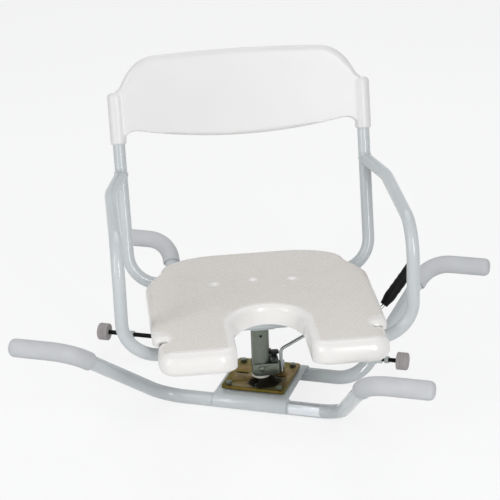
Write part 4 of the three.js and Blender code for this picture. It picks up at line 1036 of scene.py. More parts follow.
# Seat
# One injection moulding of white polypropylene with a rolled edge all round and an open arch
# at the front for washing. Its top has a raised anti-slip pattern and three small dimples.
# The rolled edges, the lip of the arch and the nubs beside the side notches are left smooth.
SEAT_TOP = 216
SEAT_UNDERSIDE = 177
SEAT_HALF_WIDTH = 196
SEAT_REAR_Y = 143
SEAT_REAR_FLAT_HALF = 60
REAR_SHOULDER = (165, 88)
SIDE_START_Y = 18
SIDE_END_Y = -179
SIDE_NUB_RADIUS = 18
NOTCH_Y = -201
NOTCH_INNER_X = 174
NOTCH_HALF_WIDTH = 4
LOBE_HALF_WIDTH = 190
LOBE_SHOULDER_Y = -230
SEAT_FRONT_Y = -272
LOBE_CORNER_RADIUS = 30
CUTOUT_HALF_WIDTH = 61
CUTOUT_CENTRE_Y = -160
SIDE_ROLL = 10
LIP_ROLL = 19
LIP_LOWER_ROLL = 15
ARCH_ROLL = 11
ARCH_RELIEF = 6
ARCH_RELIEF_REACH = 22
RIM_THICKNESS = 16
RIM_WIDTH = 34
RIM_DRAFT = 5
SEAT_EDGE_CHAMFER = 3
DIMPLES = ((-75, 7), (-7, 14), (61, 7))
DIMPLE_RADIUS = 8
DIMPLE_DEPTH = 3.2
PATTERN_PITCH = 8.5
PATTERN_HEIGHT = 0.6
PATTERN_TURN = math.radians(32)
DIMPLE_MARGIN = 4
DIMPLE_FLOOR_SHARE = 0.1
SEAT_EDGE_SPACING = 8
SEAT_GRID = 7
SHORTEST_EDGE = 0.3
SAME_LEVEL = 0.01
TEXTURE_FROM_ARCH = (ARCH_ROLL, ARCH_ROLL + 3)
TEXTURE_FROM_LIP = (LIP_ROLL + 2, LIP_ROLL + 6)
TEXTURE_HEIGHT = (SEAT_TOP - 6, SEAT_TOP - 1)
TEXTURE_FROM_DIMPLE = (DIMPLE_RADIUS, DIMPLE_RADIUS + 2)
TEXTURE_FROM_NUB = (22, 30)
NUB_MIDDLE = (SEAT_HALF_WIDTH - 6, NOTCH_Y + 6)
# Where shade is painted into the side notches, darker towards their floor.
NOTCH_SHADE_FROM_WALL = (0.5, 3)
NOTCH_SHADE_REACH = (NOTCH_INNER_X - 5, NOTCH_INNER_X - 2)
NOTCH_SHADE_HEIGHT = (SEAT_TOP - SIDE_ROLL, SEAT_TOP - 4)


def moulded_polypropylene():
    """Moulded polypropylene: a warm, slightly milky white with a low waxy shine. One value of
    the mesh says where the anti-slip texture is, and the rest is polished and shines more.
    Another says where a notch is deep, and there shade is painted in. The tops of the
    texture's nubs are painted lighter, as a painted highlight."""
    material, shader = new_material("moulded_polypropylene", {"IOR": 1.49})
    coordinates = add_node(material, "ShaderNodeTexCoord", {}).outputs["Object"]
    textured = add_node(material, "ShaderNodeAttribute", {}, attribute_name="textured")
    share = textured.outputs["Fac"]
    cloud_size = 60 * MM
    clouds = add_node(material, "ShaderNodeTexNoise", {
        "Vector": coordinates, "Scale": 1 / cloud_size, "Detail": 2.0,
    })
    textured_tint = add_node(material, "ShaderNodeMixRGB", {
        "Fac": clouds.outputs["Fac"], "Color1": colour("#dbd5cf"), "Color2": colour("#e3ded8"),
    })
    tint = add_node(material, "ShaderNodeMixRGB", {
        "Fac": share, "Color1": colour("#ece9e6"), "Color2": textured_tint.outputs["Color"],
    })
    shine = add_node(material, "ShaderNodeMapRange", {
        "Value": share, "To Min": 0.22, "To Max": 0.5,
    })
    grain_size = 0.9 * MM
    grain = add_node(material, "ShaderNodeTexNoise", {
        "Vector": coordinates, "Scale": 1 / grain_size, "Detail": 2.0,
    })
    ridges = []
    for turn in (PATTERN_TURN, -PATTERN_TURN):
        turned_place = add_node(material, "ShaderNodeMapping", {
            "Vector": coordinates, "Rotation": (0, 0, turn),
        })
        wave = add_node(material, "ShaderNodeTexWave", {
            "Vector": turned_place.outputs["Vector"], "Scale": math.pi / 10 / (PATTERN_PITCH * MM),
        }, bands_direction="X")
        ridge = add_node(material, "ShaderNodeMapRange", {
            "Value": wave.outputs["Fac"], "From Min": 0.3, "From Max": 0.95,
        }, interpolation_type="SMOOTHSTEP")
        ridges.append(ridge.outputs["Result"])
    nubs = add_node(material, "ShaderNodeMath", {0: ridges[0], 1: ridges[1]}, operation="MULTIPLY")
    pattern = add_node(material, "ShaderNodeMath", {
        0: nubs.outputs["Value"], 1: share,
    }, operation="MULTIPLY")
    # Painted highlight: the tops of the nubs are painted lighter than the plastic round them.
    nub_highlight_tint = add_node(material, "ShaderNodeMixRGB", {
        "Fac": pattern.outputs["Value"], "Color1": tint.outputs["Color"], "Color2": colour("#e6e2dd"),
    })
    # Painted shade: the walls and floor of the side notches are painted dark grey.
    notch_shade = add_node(material, "ShaderNodeAttribute", {}, attribute_name="notch_shade")
    notch_shaded = add_node(material, "ShaderNodeMixRGB", {
        "Fac": notch_shade.outputs["Fac"], "Color1": nub_highlight_tint.outputs["Color"], "Color2": colour("#6f6b67"),
    })
    relief = add_node(material, "ShaderNodeBump", {
        "Height": pattern.outputs["Value"], "Strength": 1.0, "Distance": PATTERN_HEIGHT * MM,
    })
    grain_height = add_node(material, "ShaderNodeMath", {
        0: grain.outputs["Fac"], 1: share,
    }, operation="MULTIPLY")
    bump = add_node(material, "ShaderNodeBump", {
        "Height": grain_height.outputs["Value"], "Strength": 0.25, "Distance": 0.1 * MM,
        "Normal": relief.outputs["Normal"],
    })
    set_sockets(material, shader, {
        "Base Color": notch_shaded.outputs["Color"],
        "Roughness": shine.outputs["Result"],
        "Normal": bump.outputs["Normal"],
    })
    return material


def bezier(start, first, second, end, steps):
    """Points on a cubic curve with two handles, the first and the second, without its start."""
    corners = (start, first, second, end)
    points = []
    for k in range(1, steps + 1):
        t = k / steps
        shares = ((1 - t) ** 3, 3 * t * (1 - t) ** 2, 3 * t * t * (1 - t), t ** 3)
        points.append(tuple(sum(share * corner[axis] for share, corner in zip(shares, corners))
                            for axis in (0, 1)))
    return points


def seat_half():
    """The outline's right half, from the middle of the rear edge to the arch."""
    shoulder_x, shoulder_y = REAR_SHOULDER
    corner_x = shoulder_x - SEAT_REAR_FLAT_HALF
    corner_y = SEAT_REAR_Y - shoulder_y
    points = [(0, SEAT_REAR_Y), (SEAT_REAR_FLAT_HALF, SEAT_REAR_Y)]
    points += bezier(points[-1], (SEAT_REAR_FLAT_HALF + 0.58 * corner_x, SEAT_REAR_Y),
                     (shoulder_x, shoulder_y + 0.5 * corner_y), REAR_SHOULDER, 16)
    flare_x = SEAT_HALF_WIDTH - shoulder_x
    flare_y = shoulder_y - SIDE_START_Y
    points += bezier(REAR_SHOULDER, (shoulder_x + 0.1 * flare_x, shoulder_y - 0.28 * flare_y),
                     (SEAT_HALF_WIDTH - 0.2 * flare_x, SIDE_START_Y + 0.5 * flare_y),
                     (SEAT_HALF_WIDTH, SIDE_START_Y), 16)
    points += arc((SEAT_HALF_WIDTH - SIDE_NUB_RADIUS, SIDE_END_Y), SIDE_NUB_RADIUS, 0, -90, 10)
    points += arc((NOTCH_INNER_X, NOTCH_Y), NOTCH_HALF_WIDTH, 90, 270, 10)
    low_side = NOTCH_Y - NOTCH_HALF_WIDTH
    round_share = 2 / 3
    points += bezier(points[-1],
                     (NOTCH_INNER_X + (LOBE_HALF_WIDTH - NOTCH_INNER_X) * round_share, low_side),
                     (LOBE_HALF_WIDTH, LOBE_SHOULDER_Y + (low_side - LOBE_SHOULDER_Y) * round_share),
                     (LOBE_HALF_WIDTH, LOBE_SHOULDER_Y), 10)
    lobe_y = SEAT_FRONT_Y + LOBE_CORNER_RADIUS
    points += arc((LOBE_HALF_WIDTH - LOBE_CORNER_RADIUS, lobe_y), LOBE_CORNER_RADIUS, 0, -90, 12)
    points += arc((CUTOUT_HALF_WIDTH + LOBE_CORNER_RADIUS, lobe_y), LOBE_CORNER_RADIUS, -90, -180, 12)
    points += arc((0, CUTOUT_CENTRE_Y), CUTOUT_HALF_WIDTH, 0, 90, 24)
    kept = [points[0]]
    for point in points[1:]:
        if math.dist(point, kept[-1]) > SHORTEST_EDGE:
            kept.append(point)
    return kept


def mirrored_outline(half):
    """An anticlockwise outline from a right half that starts and ends on the middle line."""
    left = [(-x, y) for x, y in reversed(half[1:-1])]
    return [Vector(point) for point in reversed(half + left)]


def inward_at(outline, i):
    """The way inwards at a corner of an anticlockwise outline, sized to keep edges parallel."""
    before, here, after = outline[i - 1], outline[i], outline[(i + 1) % len(outline)]
    into = (here - before).normalized()
    out = (after - here).normalized()
    normal_in = Vector((-into.y, into.x))
    normal_out = Vector((-out.y, out.x))
    return (normal_in + normal_out) / (1 + normal_in.dot(normal_out))


def smooth_share(value, start, end):
    """0 up to the start and 1 from the end, with a soft step between them."""
    share = min(max((value - start) / (end - start), 0), 1)
    return share * share * (3 - 2 * share)


def spaced(points, most):
    """The same closed line with extra points, so that none is far from the next."""
    result = []
    for i, point in enumerate(points):
        following = points[(i + 1) % len(points)]
        parts = max(1, math.ceil((following - point).length / most))
        result += [point.lerp(following, k / parts) for k in range(parts)]
    return result


def seat_rolls(outline):
    """The upper and lower radius of the edge at each point. Both are large along the fronts of
    the lobes, and small in the arch."""
    reach = 4 * NOTCH_HALF_WIDTH
    rolls = []
    for point in outline:
        in_arch = abs(point.x) < CUTOUT_HALF_WIDTH + LOBE_CORNER_RADIUS and point.y < 0
        at_notch = abs(point.x) > NOTCH_INNER_X - reach and abs(point.y - NOTCH_Y) < reach
        near_lip = 0 if at_notch else smooth_share(point.y, SIDE_END_Y, LOBE_SHOULDER_Y)
        up_arch = smooth_share(point.y, SEAT_FRONT_Y, SEAT_FRONT_Y + LOBE_CORNER_RADIUS)
        share = up_arch if in_arch else 1 - near_lip
        upper = LIP_ROLL + ((ARCH_ROLL if in_arch else SIDE_ROLL) - LIP_ROLL) * share
        lower = LIP_LOWER_ROLL + (SEAT_EDGE_CHAMFER - LIP_LOWER_ROLL) * share
        rolls.append(Vector((upper, lower)))
    for smoothing in range(3):
        rolls = [(rolls[i - 1] + rolls[i] + rolls[(i + 1) % len(rolls)]) / 3 for i in range(len(rolls))]
    return [roll.x for roll in rolls], [roll.y for roll in rolls]


def cut_in_grid(mesh, height, pitch):
    """Cuts the flat face at this height into squares, so that its points can be moved."""
    for normal, low, high in ((Vector((1, 0, 0)), -SEAT_HALF_WIDTH, SEAT_HALF_WIDTH),
                              (Vector((0, 1, 0)), SEAT_FRONT_Y, SEAT_REAR_Y)):
        for k in range(1, int((high - low) / pitch)):
            cut_at = low + k * pitch
            flat = [face for face in mesh.faces
                    if all(abs(v.co.z - height) < SAME_LEVEL for v in face.verts)]
            near = [face for face in flat
                    if min(v.co.dot(normal) for v in face.verts) < cut_at
                    < max(v.co.dot(normal) for v in face.verts)]
            edges = {edge for face in near for edge in face.edges}
            corners = {v for face in near for v in face.verts}
            bmesh.ops.bisect_plane(mesh, geom=[*near, *edges, *corners], plane_no=normal,
                                   plane_co=normal * cut_at)


ACROSS = Matrix.Rotation(math.pi / 2, 4, "X")


def rim_undercut(side_x):
    """What is cut away under one side, where the seat is only a thin rim."""
    wall_x = SEAT_HALF_WIDTH - RIM_WIDTH
    low = SEAT_UNDERSIDE - CUT_PAST
    high = SEAT_TOP - RIM_THICKNESS
    out_x = SEAT_HALF_WIDTH + CUT_PAST
    profile = [(side_x * wall_x, low), (side_x * out_x, low), (side_x * out_x, high),
               (side_x * (wall_x + RIM_DRAFT), high)]
    if side_x < 0:
        profile.reverse()
    solid = prism(profile, -SEAT_REAR_Y, -NOTCH_Y)
    return moved(solid, ACROSS)


def arch_relief():
    """What is cut away under the arch's wall, most at its top, where the crossbar shows."""
    past_wall = 4
    past_underside = 1
    depth = 6
    narrowing = 1.5
    inner = CUTOUT_HALF_WIDTH - past_wall
    outer = CUTOUT_HALF_WIDTH + ARCH_RELIEF_REACH
    low = SEAT_UNDERSIDE - past_underside
    slope = ARCH_RELIEF / ARCH_RELIEF_REACH
    rings = []
    for degrees in range(0, 181, 10):
        angle = math.radians(degrees)
        around = Vector((math.cos(angle), math.sin(angle), 0))
        height = (outer - inner) * slope * math.sin(angle) ** narrowing
        corners = ((inner, low - depth), (outer, low - depth), (outer, low), (inner, low + height))
        rings.append([Vector((0, CUTOUT_CENTRE_Y, z)) + around * radius for radius, z in corners])
    return skin(rings)


def quarter_turn(steps):
    """Angles from nothing to a right angle."""
    return [math.pi / 2 * k / steps for k in range(steps + 1)]


def seat_moulding():
    """The rolled slab with its dimples, less the tubes' channels, the rims' undercuts and the
    arch's relief."""
    outline = spaced(mirrored_outline(seat_half()), SEAT_EDGE_SPACING)
    inwards = [inward_at(outline, i) for i in range(len(outline))]
    upper, lower = seat_rolls(outline)

    def ring(insets, heights):
        flat = [point + inward * inset for point, inward, inset in zip(outline, inwards, insets)]
        return [Vector((point.x, point.y, height)) for point, height in zip(flat, heights)]

    rings = [ring([roll * (1 - math.sin(angle)) for roll in lower],
                  [SEAT_UNDERSIDE + roll * (1 - math.cos(angle)) for roll in lower])
             for angle in quarter_turn(5)]
    rings += [ring([roll * (1 - math.cos(angle)) for roll in upper],
                   [SEAT_TOP - roll * (1 - math.sin(angle)) for roll in upper])
              for angle in quarter_turn(9)]
    mesh = skin(rings)
    cut_in_grid(mesh, SEAT_TOP, SEAT_GRID)
    for dimple in DIMPLES:
        near = [face for face in mesh.faces
                if abs(face.calc_center_median().z - SEAT_TOP) < SAME_LEVEL
                and math.dist(face.calc_center_median()[:2], dimple) < DIMPLE_RADIUS + DIMPLE_MARGIN]
        edges = list({edge for face in near for edge in face.edges})
        bmesh.ops.subdivide_edges(mesh, edges=edges, cuts=4, use_grid_fill=True)
    for vertex in mesh.verts:
        point = vertex.co
        for dimple in DIMPLES:
            reach = math.dist(point[:2], dimple) / DIMPLE_RADIUS
            if reach < 1 and point.z > SEAT_TOP - 1:
                point.z -= DIMPLE_DEPTH * (1 - smooth_share(reach, DIMPLE_FLOOR_SHARE, 1))
    channels = [swept(path, FRAME_TUBE_RADIUS + GAP, 32) for path in (FRONT_PATH, REAR_PATH)]
    mesh = carved(mesh, joined(channels))
    for side_x in SIDES.values():
        mesh = carved(mesh, rim_undercut(side_x))
    return carved(mesh, arch_relief())


def textured_share(point):
    """How far a point lies inside the textured area: 0 outside it and 1 well inside."""
    from_arch = math.hypot(point.x, max(point.y - CUTOUT_CENTRE_Y, 0)) - CUTOUT_HALF_WIDTH
    from_nub = math.dist((abs(point.x), point.y), NUB_MIDDLE)
    share = smooth_share(from_arch, *TEXTURE_FROM_ARCH)
    share *= smooth_share(point.y - SEAT_FRONT_Y, *TEXTURE_FROM_LIP)
    share *= smooth_share(point.z, *TEXTURE_HEIGHT)
    share *= smooth_share(from_nub, *TEXTURE_FROM_NUB)
    for dimple in DIMPLES:
        share *= smooth_share(math.dist(point[:2], dimple), *TEXTURE_FROM_DIMPLE)
    return share


def notch_shade_share(point):
    """How deep in one of the side notches a point lies, for the shade painted there: 0 outside them and
    1 at their floor.
    """
    share = 1 - smooth_share(abs(point.y - NOTCH_Y) - NOTCH_HALF_WIDTH, *NOTCH_SHADE_FROM_WALL)
    share *= smooth_share(abs(point.x), *NOTCH_SHADE_REACH)
    share *= 1 - smooth_share(point.z, *NOTCH_SHADE_HEIGHT)
    return share


seat = piece("seat_moulding", seat_moulding(), moulded_polypropylene(), "turning_seat",
             ["seat"], SEAT_TURN, sharp_degrees=50)
seat_points = [vertex.co / MM for vertex in seat.data.vertices]
# One value marks the textured area, the other the painted shade in the notches.
for value_name, share_at in (("textured", textured_share), ("notch_shade", notch_shade_share)):
    attribute = seat.data.attributes.new(value_name, "FLOAT", "POINT")
    attribute.data.foreach_set("value", [share_at(point) for point in seat_points])

# Backrest
# One blow moulding of white polyethylene, cooler and smoother than the seat, with rolled
# edges. A socket at each side drops over the end of a back tube, and a screw from behind
# holds it.
SOCKET_RADIUS = 14.5
SOCKET_START = 256
SOCKET_END = 349
SOCKET_DOME = 8
SOCKET_SIDES = 48
SOCKET_BORE_PAST = 3
BACK_TOP = 415
BACK_TOP_HALF = 150
BACK_TOP_CORNER = 411
BACK_TOP_SAG = 1.4
BACK_SHOULDER = 358
BACK_LOWER_MIDDLE = 260
BACK_LOWER_CORNER = 278
BACK_PANEL_HALF = 213
BACK_PANEL_HALF_THICKNESS = 11
BACK_EDGE_ROLL = 7
BACK_TOP_ROLL = 14
BACK_EDGE_DEPTH = 9
BACK_ROLL_RISE = 30
BACK_NOTCH_WIDTH = 27
BACK_SCREW_HEIGHT = 300
BACK_SCREW_LENGTH = 9
BACK_FRAME = SEAT_TURN @ Matrix.Translation(Vector((0, BACK_CROSSBAR_Y, CROSSBAR_Z)) * MM)
BACK_FRAME = BACK_FRAME @ Matrix.Rotation(-BACK_LEAN, 4, "X")
VOXEL = 1.8


def moulded_polyethylene():
    """Blow moulded polyethylene: a clean cool white, satin from the blasted mould, with a very
    fine grain and almost no change of colour."""
    material, shader = new_material("moulded_polyethylene", {"IOR": 1.51, "Roughness": 0.34})
    coordinates = add_node(material, "ShaderNodeTexCoord", {}).outputs["Object"]
    grain_size = 0.8 * MM
    grain = add_node(material, "ShaderNodeTexNoise", {
        "Vector": coordinates, "Scale": 1 / grain_size, "Detail": 2.0,
    })
    bump = add_node(material, "ShaderNodeBump", {
        "Height": grain.outputs["Fac"], "Strength": 0.15, "Distance": 0.05 * MM,
    })
    cloud_size = 120 * MM
    clouds = add_node(material, "ShaderNodeTexNoise", {
        "Vector": coordinates, "Scale": 1 / cloud_size, "Detail": 1.0,
    })
    tint = add_node(material, "ShaderNodeMixRGB", {
        "Fac": clouds.outputs["Fac"], "Color1": colour("#dfdddd"), "Color2": colour("#e6e5e4"),
    })
    set_sockets(material, shader, {
        "Base Color": tint.outputs["Color"],
        "Normal": bump.outputs["Normal"],
    })
    return material


def socket_x(along):
    return BACK_SIDE + along * math.tan(BACK_SPLAY)


def socket_point(side_x, height):
    return Vector((side_x * socket_x(height), 0, height))


def back_half():
    """The panel's right half, from the middle of its top to the middle of its lower edge."""
    notch_x = BACK_PANEL_HALF - BACK_NOTCH_WIDTH
    points = [(0, BACK_TOP)]
    points += bezier(points[-1], (BACK_TOP_HALF / 3, BACK_TOP),
                     (2 * BACK_TOP_HALF / 3, BACK_TOP - BACK_TOP_SAG),
                     (BACK_TOP_HALF, BACK_TOP_CORNER), 12)
    wide = BACK_PANEL_HALF - BACK_TOP_HALF
    high = BACK_TOP_CORNER - BACK_SHOULDER
    points += bezier(points[-1], (BACK_TOP_HALF + 0.5 * wide, BACK_TOP_CORNER - 0.05 * high),
                     (BACK_TOP_HALF + 0.79 * wide, BACK_SHOULDER + 0.53 * high),
                     (BACK_PANEL_HALF, BACK_SHOULDER), 24)
    socket_low = SOCKET_START + BACK_EDGE_ROLL
    points += [(socket_x(SOCKET_END), SOCKET_END + GAP), (socket_x(SOCKET_END), socket_low),
               (BACK_PANEL_HALF, socket_low)]
    points += bezier(points[-1], (BACK_PANEL_HALF - 0.4 * BACK_NOTCH_WIDTH, BACK_LOWER_CORNER),
                     (notch_x + 0.45 * BACK_NOTCH_WIDTH, BACK_LOWER_CORNER),
                     (notch_x, BACK_LOWER_CORNER), 12)
    sag = BACK_LOWER_CORNER - BACK_LOWER_MIDDLE
    points += bezier(points[-1], (notch_x * 2 / 3, BACK_LOWER_CORNER - sag * 2 / 3),
                     (notch_x / 3, BACK_LOWER_MIDDLE), (0, BACK_LOWER_MIDDLE), 24)
    return points


def back_moulding():
    """The panel and its two sockets, melted into one skin as blow moulding does, then bored."""
    outline = mirrored_outline(back_half())
    inwards = [inward_at(outline, i) for i in range(len(outline))]
    rolls = [BACK_EDGE_ROLL + (BACK_TOP_ROLL - BACK_EDGE_ROLL)
             * smooth_share(point.y, BACK_SHOULDER, BACK_SHOULDER + BACK_ROLL_RISE) for point in outline]
    rings = []
    for face in (1, -1):
        for angle in quarter_turn(8)[::face]:
            depth = BACK_PANEL_HALF_THICKNESS - BACK_EDGE_DEPTH * (1 - math.cos(angle))
            points = [point + inward * (roll * (1 - math.sin(angle)))
                      for point, inward, roll in zip(outline, inwards, rolls)]
            rings.append([Vector((point.x, face * depth, point.y)) for point in points])
    parts = [skin(rings)]
    bores = []
    for side_x in SIDES.values():
        up = (socket_point(side_x, SOCKET_END) - socket_point(side_x, SOCKET_START)).normalized()
        dome_start = SOCKET_END - SOCKET_DOME
        path = [(socket_point(side_x, height), up) for height in (SOCKET_START, dome_start)]
        radii = [SOCKET_RADIUS, SOCKET_RADIUS]
        for angle in quarter_turn(7)[1:-1]:
            path.append((socket_point(side_x, dome_start + SOCKET_DOME * math.sin(angle)), up))
            radii.append(SOCKET_RADIUS - SOCKET_DOME + SOCKET_DOME * math.cos(angle))
        parts.append(skin(rings_along(path, radii, SOCKET_SIDES)))
        bore_ends = (SOCKET_START - SOCKET_BORE_PAST, BACK_TUBE_RISE + GAP)
        bore_path = [(socket_point(side_x, height), up) for height in bore_ends]
        bores.append(swept(bore_path, FRAME_TUBE_RADIUS + GAP, 64))
    whole = changed(joined(parts), "REMESH", {"mode": "VOXEL", "voxel_size": VOXEL})
    whole = changed(whole, "SMOOTH", {"factor": 0.5, "iterations": 8})
    return carved(whole, joined(bores))


piece("back_moulding", back_moulding(), moulded_polyethylene(), "turning_seat",
      ["backrest"], BACK_FRAME, sharp_degrees=60)

# Moulding screws
# Pan head screws with a cross recess: four come up through the crossbars into the seat, and
# one goes into each back tube from behind. They are zinc plated.
SCREW_RADIUS = 2.5
SCREW_HEAD_RADIUS = 5
SCREW_HEAD_HEIGHT = 3
SCREW_CROWN = 2.4
SCREW_RECESS_LENGTH = 5.25
SCREW_RECESS_WIDTH = 1.1
SCREW_RECESS_CORNER = 0.5
SCREW_RECESS_FLOOR = 1.05
SEAT_SCREWS = {"front": (58, FRONT_CROSSBAR_Y), "rear": (96, BACK_CROSSBAR_Y)}
SEAT_SCREW_TOP = 189
SCREW_PITCH = 1.4


def pan_head_screw(length):
    """Its head's seat is at height 0, the head is above and the shank below."""
    dome = arc((SCREW_HEAD_RADIUS - SCREW_CROWN, SCREW_HEAD_HEIGHT - SCREW_CROWN), SCREW_CROWN, 90, 0, 8)
    profile = [(0, SCREW_HEAD_HEIGHT), *dome, (SCREW_HEAD_RADIUS, 0), (0, 0)]
    head = turned(profile[::-1], 48)
    recess_arm = rounded_rectangle(SCREW_RECESS_LENGTH, SCREW_RECESS_WIDTH, SCREW_RECESS_CORNER)
    for turn_degrees in (0, 90):
        arm = prism(recess_arm, SCREW_RECESS_FLOOR, SCREW_HEAD_HEIGHT + 1)
        head = carved(head, moved(arm, Matrix.Rotation(math.radians(turn_degrees), 4, "Z")))
    return joined([head, threaded(SCREW_RADIUS, SCREW_PITCH, -length, 0, 16)])


for end_name, (x, y) in SEAT_SCREWS.items():
    for side_name, side_x in SIDES.items():
        head_top = CROSSBAR_Z - FRAME_TUBE_RADIUS - GAP
        place = Matrix.Translation((side_x * x, y, head_top)) @ Matrix.Rotation(math.pi, 4, "X")
        name = f"seat_screw_{end_name}_{side_name}"
        piece(f"{name}_plated", moved(pan_head_screw(SEAT_SCREW_TOP - head_top), place), CLEAR_ZINC,
              "turning_seat", [name], SEAT_TURN)
for side_name, side_x in SIDES.items():
    seat_on = Vector((side_x * socket_x(BACK_SCREW_HEIGHT), SOCKET_RADIUS + GAP, BACK_SCREW_HEIGHT))
    place = Matrix.Translation(seat_on) @ Matrix.Rotation(-math.pi / 2, 4, "X")
    piece(f"back_screw_{side_name}_plated", moved(pan_head_screw(BACK_SCREW_LENGTH), place), CLEAR_ZINC,
          "turning_seat", [f"back_screw_{side_name}"], BACK_FRAME)

# Lock lever
# A folded steel strap straddles the post and rocks on two screws. Its nose carries the tongue
# that drops into a slot of the lock plate, and the bent rod that a hand lifts by its grip.
YOKE_SHEET = 3
YOKE_INNER = POST_RADIUS + GAP
YOKE_OUTER = YOKE_INNER + YOKE_SHEET
YOKE_BOTTOM = 44
YOKE_TOP = 66
YOKE_TAIL = 16
YOKE_NOSE = 32
YOKE_CORNER = 5
YOKE_EDGE = 0.5
CHEEK_CORNER = 8
SPRING_TAB_LENGTH = 13
SPRING_TAB_WIDTH = 18
SPRING_TAB_CORNER = 2
SPRING_TAB_EDGE = 0.4
YOKE_SCREW_HEAD_RADIUS = 5.5
YOKE_SCREW_HEAD_HEIGHT = 3.5
YOKE_SCREW_RIM = 0.9
YOKE_SCREW_DOME_RADIUS = 6.317
YOKE_SCREW_DOME_DEGREES = 33
YOKE_SCREW_SOCKET_RADIUS = 2.475
YOKE_SCREW_SOCKET_FLOOR = 1.4
TONGUE_LENGTH = 10
TONGUE_THICKNESS = 3.8
TONGUE_BOTTOM = 37.7
TONGUE_TOP = 62.7
TONGUE_CORNER = 0.8
TONGUE_EDGE = 0.5
ROD_RADIUS = 3
ROD_CORNERS = ((35.3, -12, 47), (35.3, -12, 90), (80, 0, 107.5), (225, 45, 127.5))
ROD_RADII = [10, 40, 20]
GRIP_RISE_DEGREES = 45
GRIP_SWING_DEGREES = 23.5
GRIP_START = 8
GRIP_RADIUS = 10.5
GRIP_NECK = 7.5
GRIP_LENGTH = 98
GRIP_BORE = 60
GRIP_MOUTH_EDGE = 0.8
GRIP_SHOULDER_HANDLES = (8, 12)
GRIP_FULL_FROM = 22
GRIP_DOME_SHARE = 0.75
GRIP_GROOVES = 4
GRIP_GROOVES_START = 24
GRIP_GROOVE_LENGTH = 12
GRIP_GROOVE_DEPTH = 0.5


def cheek_waste():
    """What rounding the cheeks takes off: a block from side to side, less what the strap keeps."""
    margin = 9
    half_width = 30
    kept_nose = YOKE_NOSE + 5
    block = [(YOKE_NOSE + margin, YOKE_BOTTOM - margin), (YOKE_NOSE + margin, YOKE_TOP + margin),
             (-YOKE_TAIL - margin, YOKE_TOP + margin), (-YOKE_TAIL - margin, YOKE_BOTTOM - margin)]
    kept = [(kept_nose, YOKE_TOP)]
    kept += arc((CHEEK_CORNER - YOKE_TAIL, YOKE_TOP - CHEEK_CORNER), CHEEK_CORNER, 90, 180, 8)
    kept += arc((CHEEK_CORNER - YOKE_TAIL, YOKE_BOTTOM + CHEEK_CORNER), CHEEK_CORNER, 180, 270, 8)
    kept.append((kept_nose, YOKE_BOTTOM))
    return carved(moved(prism(block, -half_width, half_width), ACROSS),
                  moved(prism(kept, -half_width - margin, half_width + margin), ACROSS))


def yoke():
    """A strap bent round the post, its cheeks rounded at the tail, and the spring's tab."""
    web = YOKE_NOSE - YOKE_SHEET
    inner_corner = YOKE_CORNER - YOKE_SHEET
    outline = [(-YOKE_TAIL, -YOKE_OUTER)]
    outline += arc((YOKE_NOSE - YOKE_CORNER, YOKE_CORNER - YOKE_OUTER), YOKE_CORNER, -90, 0, 8)
    outline += arc((YOKE_NOSE - YOKE_CORNER, YOKE_OUTER - YOKE_CORNER), YOKE_CORNER, 0, 90, 8)
    outline += [(-YOKE_TAIL, YOKE_OUTER), (-YOKE_TAIL, YOKE_INNER)]
    outline += arc((web - inner_corner, YOKE_INNER - inner_corner), inner_corner, 90, 0, 6)
    outline += arc((web - inner_corner, inner_corner - YOKE_INNER), inner_corner, 0, -90, 6)
    outline.append((-YOKE_TAIL, -YOKE_INNER))
    strap = carved(prism(outline, YOKE_BOTTOM, YOKE_TOP), cheek_waste())
    tab = prism(rounded_rectangle(SPRING_TAB_LENGTH, SPRING_TAB_WIDTH, SPRING_TAB_CORNER, 4),
                YOKE_TOP - YOKE_SHEET, YOKE_TOP)
    tab = moved(tab, Matrix.Translation((YOKE_NOSE - SPRING_TAB_LENGTH / 2 - 1, 0, 0)))
    past_yoke = YOKE_OUTER + CUT_PAST
    hole = across_post(PIVOT_RADIUS + GAP, -past_yoke, past_yoke, PIVOT_HEIGHT)
    return joined([softened(carved(strap, hole), YOKE_EDGE), softened(tab, SPRING_TAB_EDGE)])


def button_screw(length):
    """A domed screw with a hexagon socket. Its seat is at height 0 and its head is above."""
    dome_middle = (0, YOKE_SCREW_HEAD_HEIGHT - YOKE_SCREW_DOME_RADIUS)
    profile = arc(dome_middle, YOKE_SCREW_DOME_RADIUS, 90, YOKE_SCREW_DOME_DEGREES, 12)
    profile += [(YOKE_SCREW_HEAD_RADIUS, YOKE_SCREW_RIM), (YOKE_SCREW_HEAD_RADIUS, 0), (0, 0)]
    socket = prism(circle(YOKE_SCREW_SOCKET_RADIUS, steps=6), YOKE_SCREW_SOCKET_FLOOR,
                   YOKE_SCREW_HEAD_HEIGHT + CUT_PAST)
    head = carved(turned(profile[::-1], 48), socket)
    return joined([head, prism(circle(PIVOT_RADIUS, steps=32), -length, 0.5)])


def tongue():
    half = TONGUE_LENGTH / 2
    middle = YOKE_NOSE + GAP + half
    outline = rounded_rectangle(TONGUE_LENGTH, TONGUE_THICKNESS, TONGUE_CORNER, 4)
    block = prism(outline, TONGUE_BOTTOM, TONGUE_TOP)
    return softened(moved(block, Matrix.Translation((middle, 0, 0))), TONGUE_EDGE, angle_degrees=40)


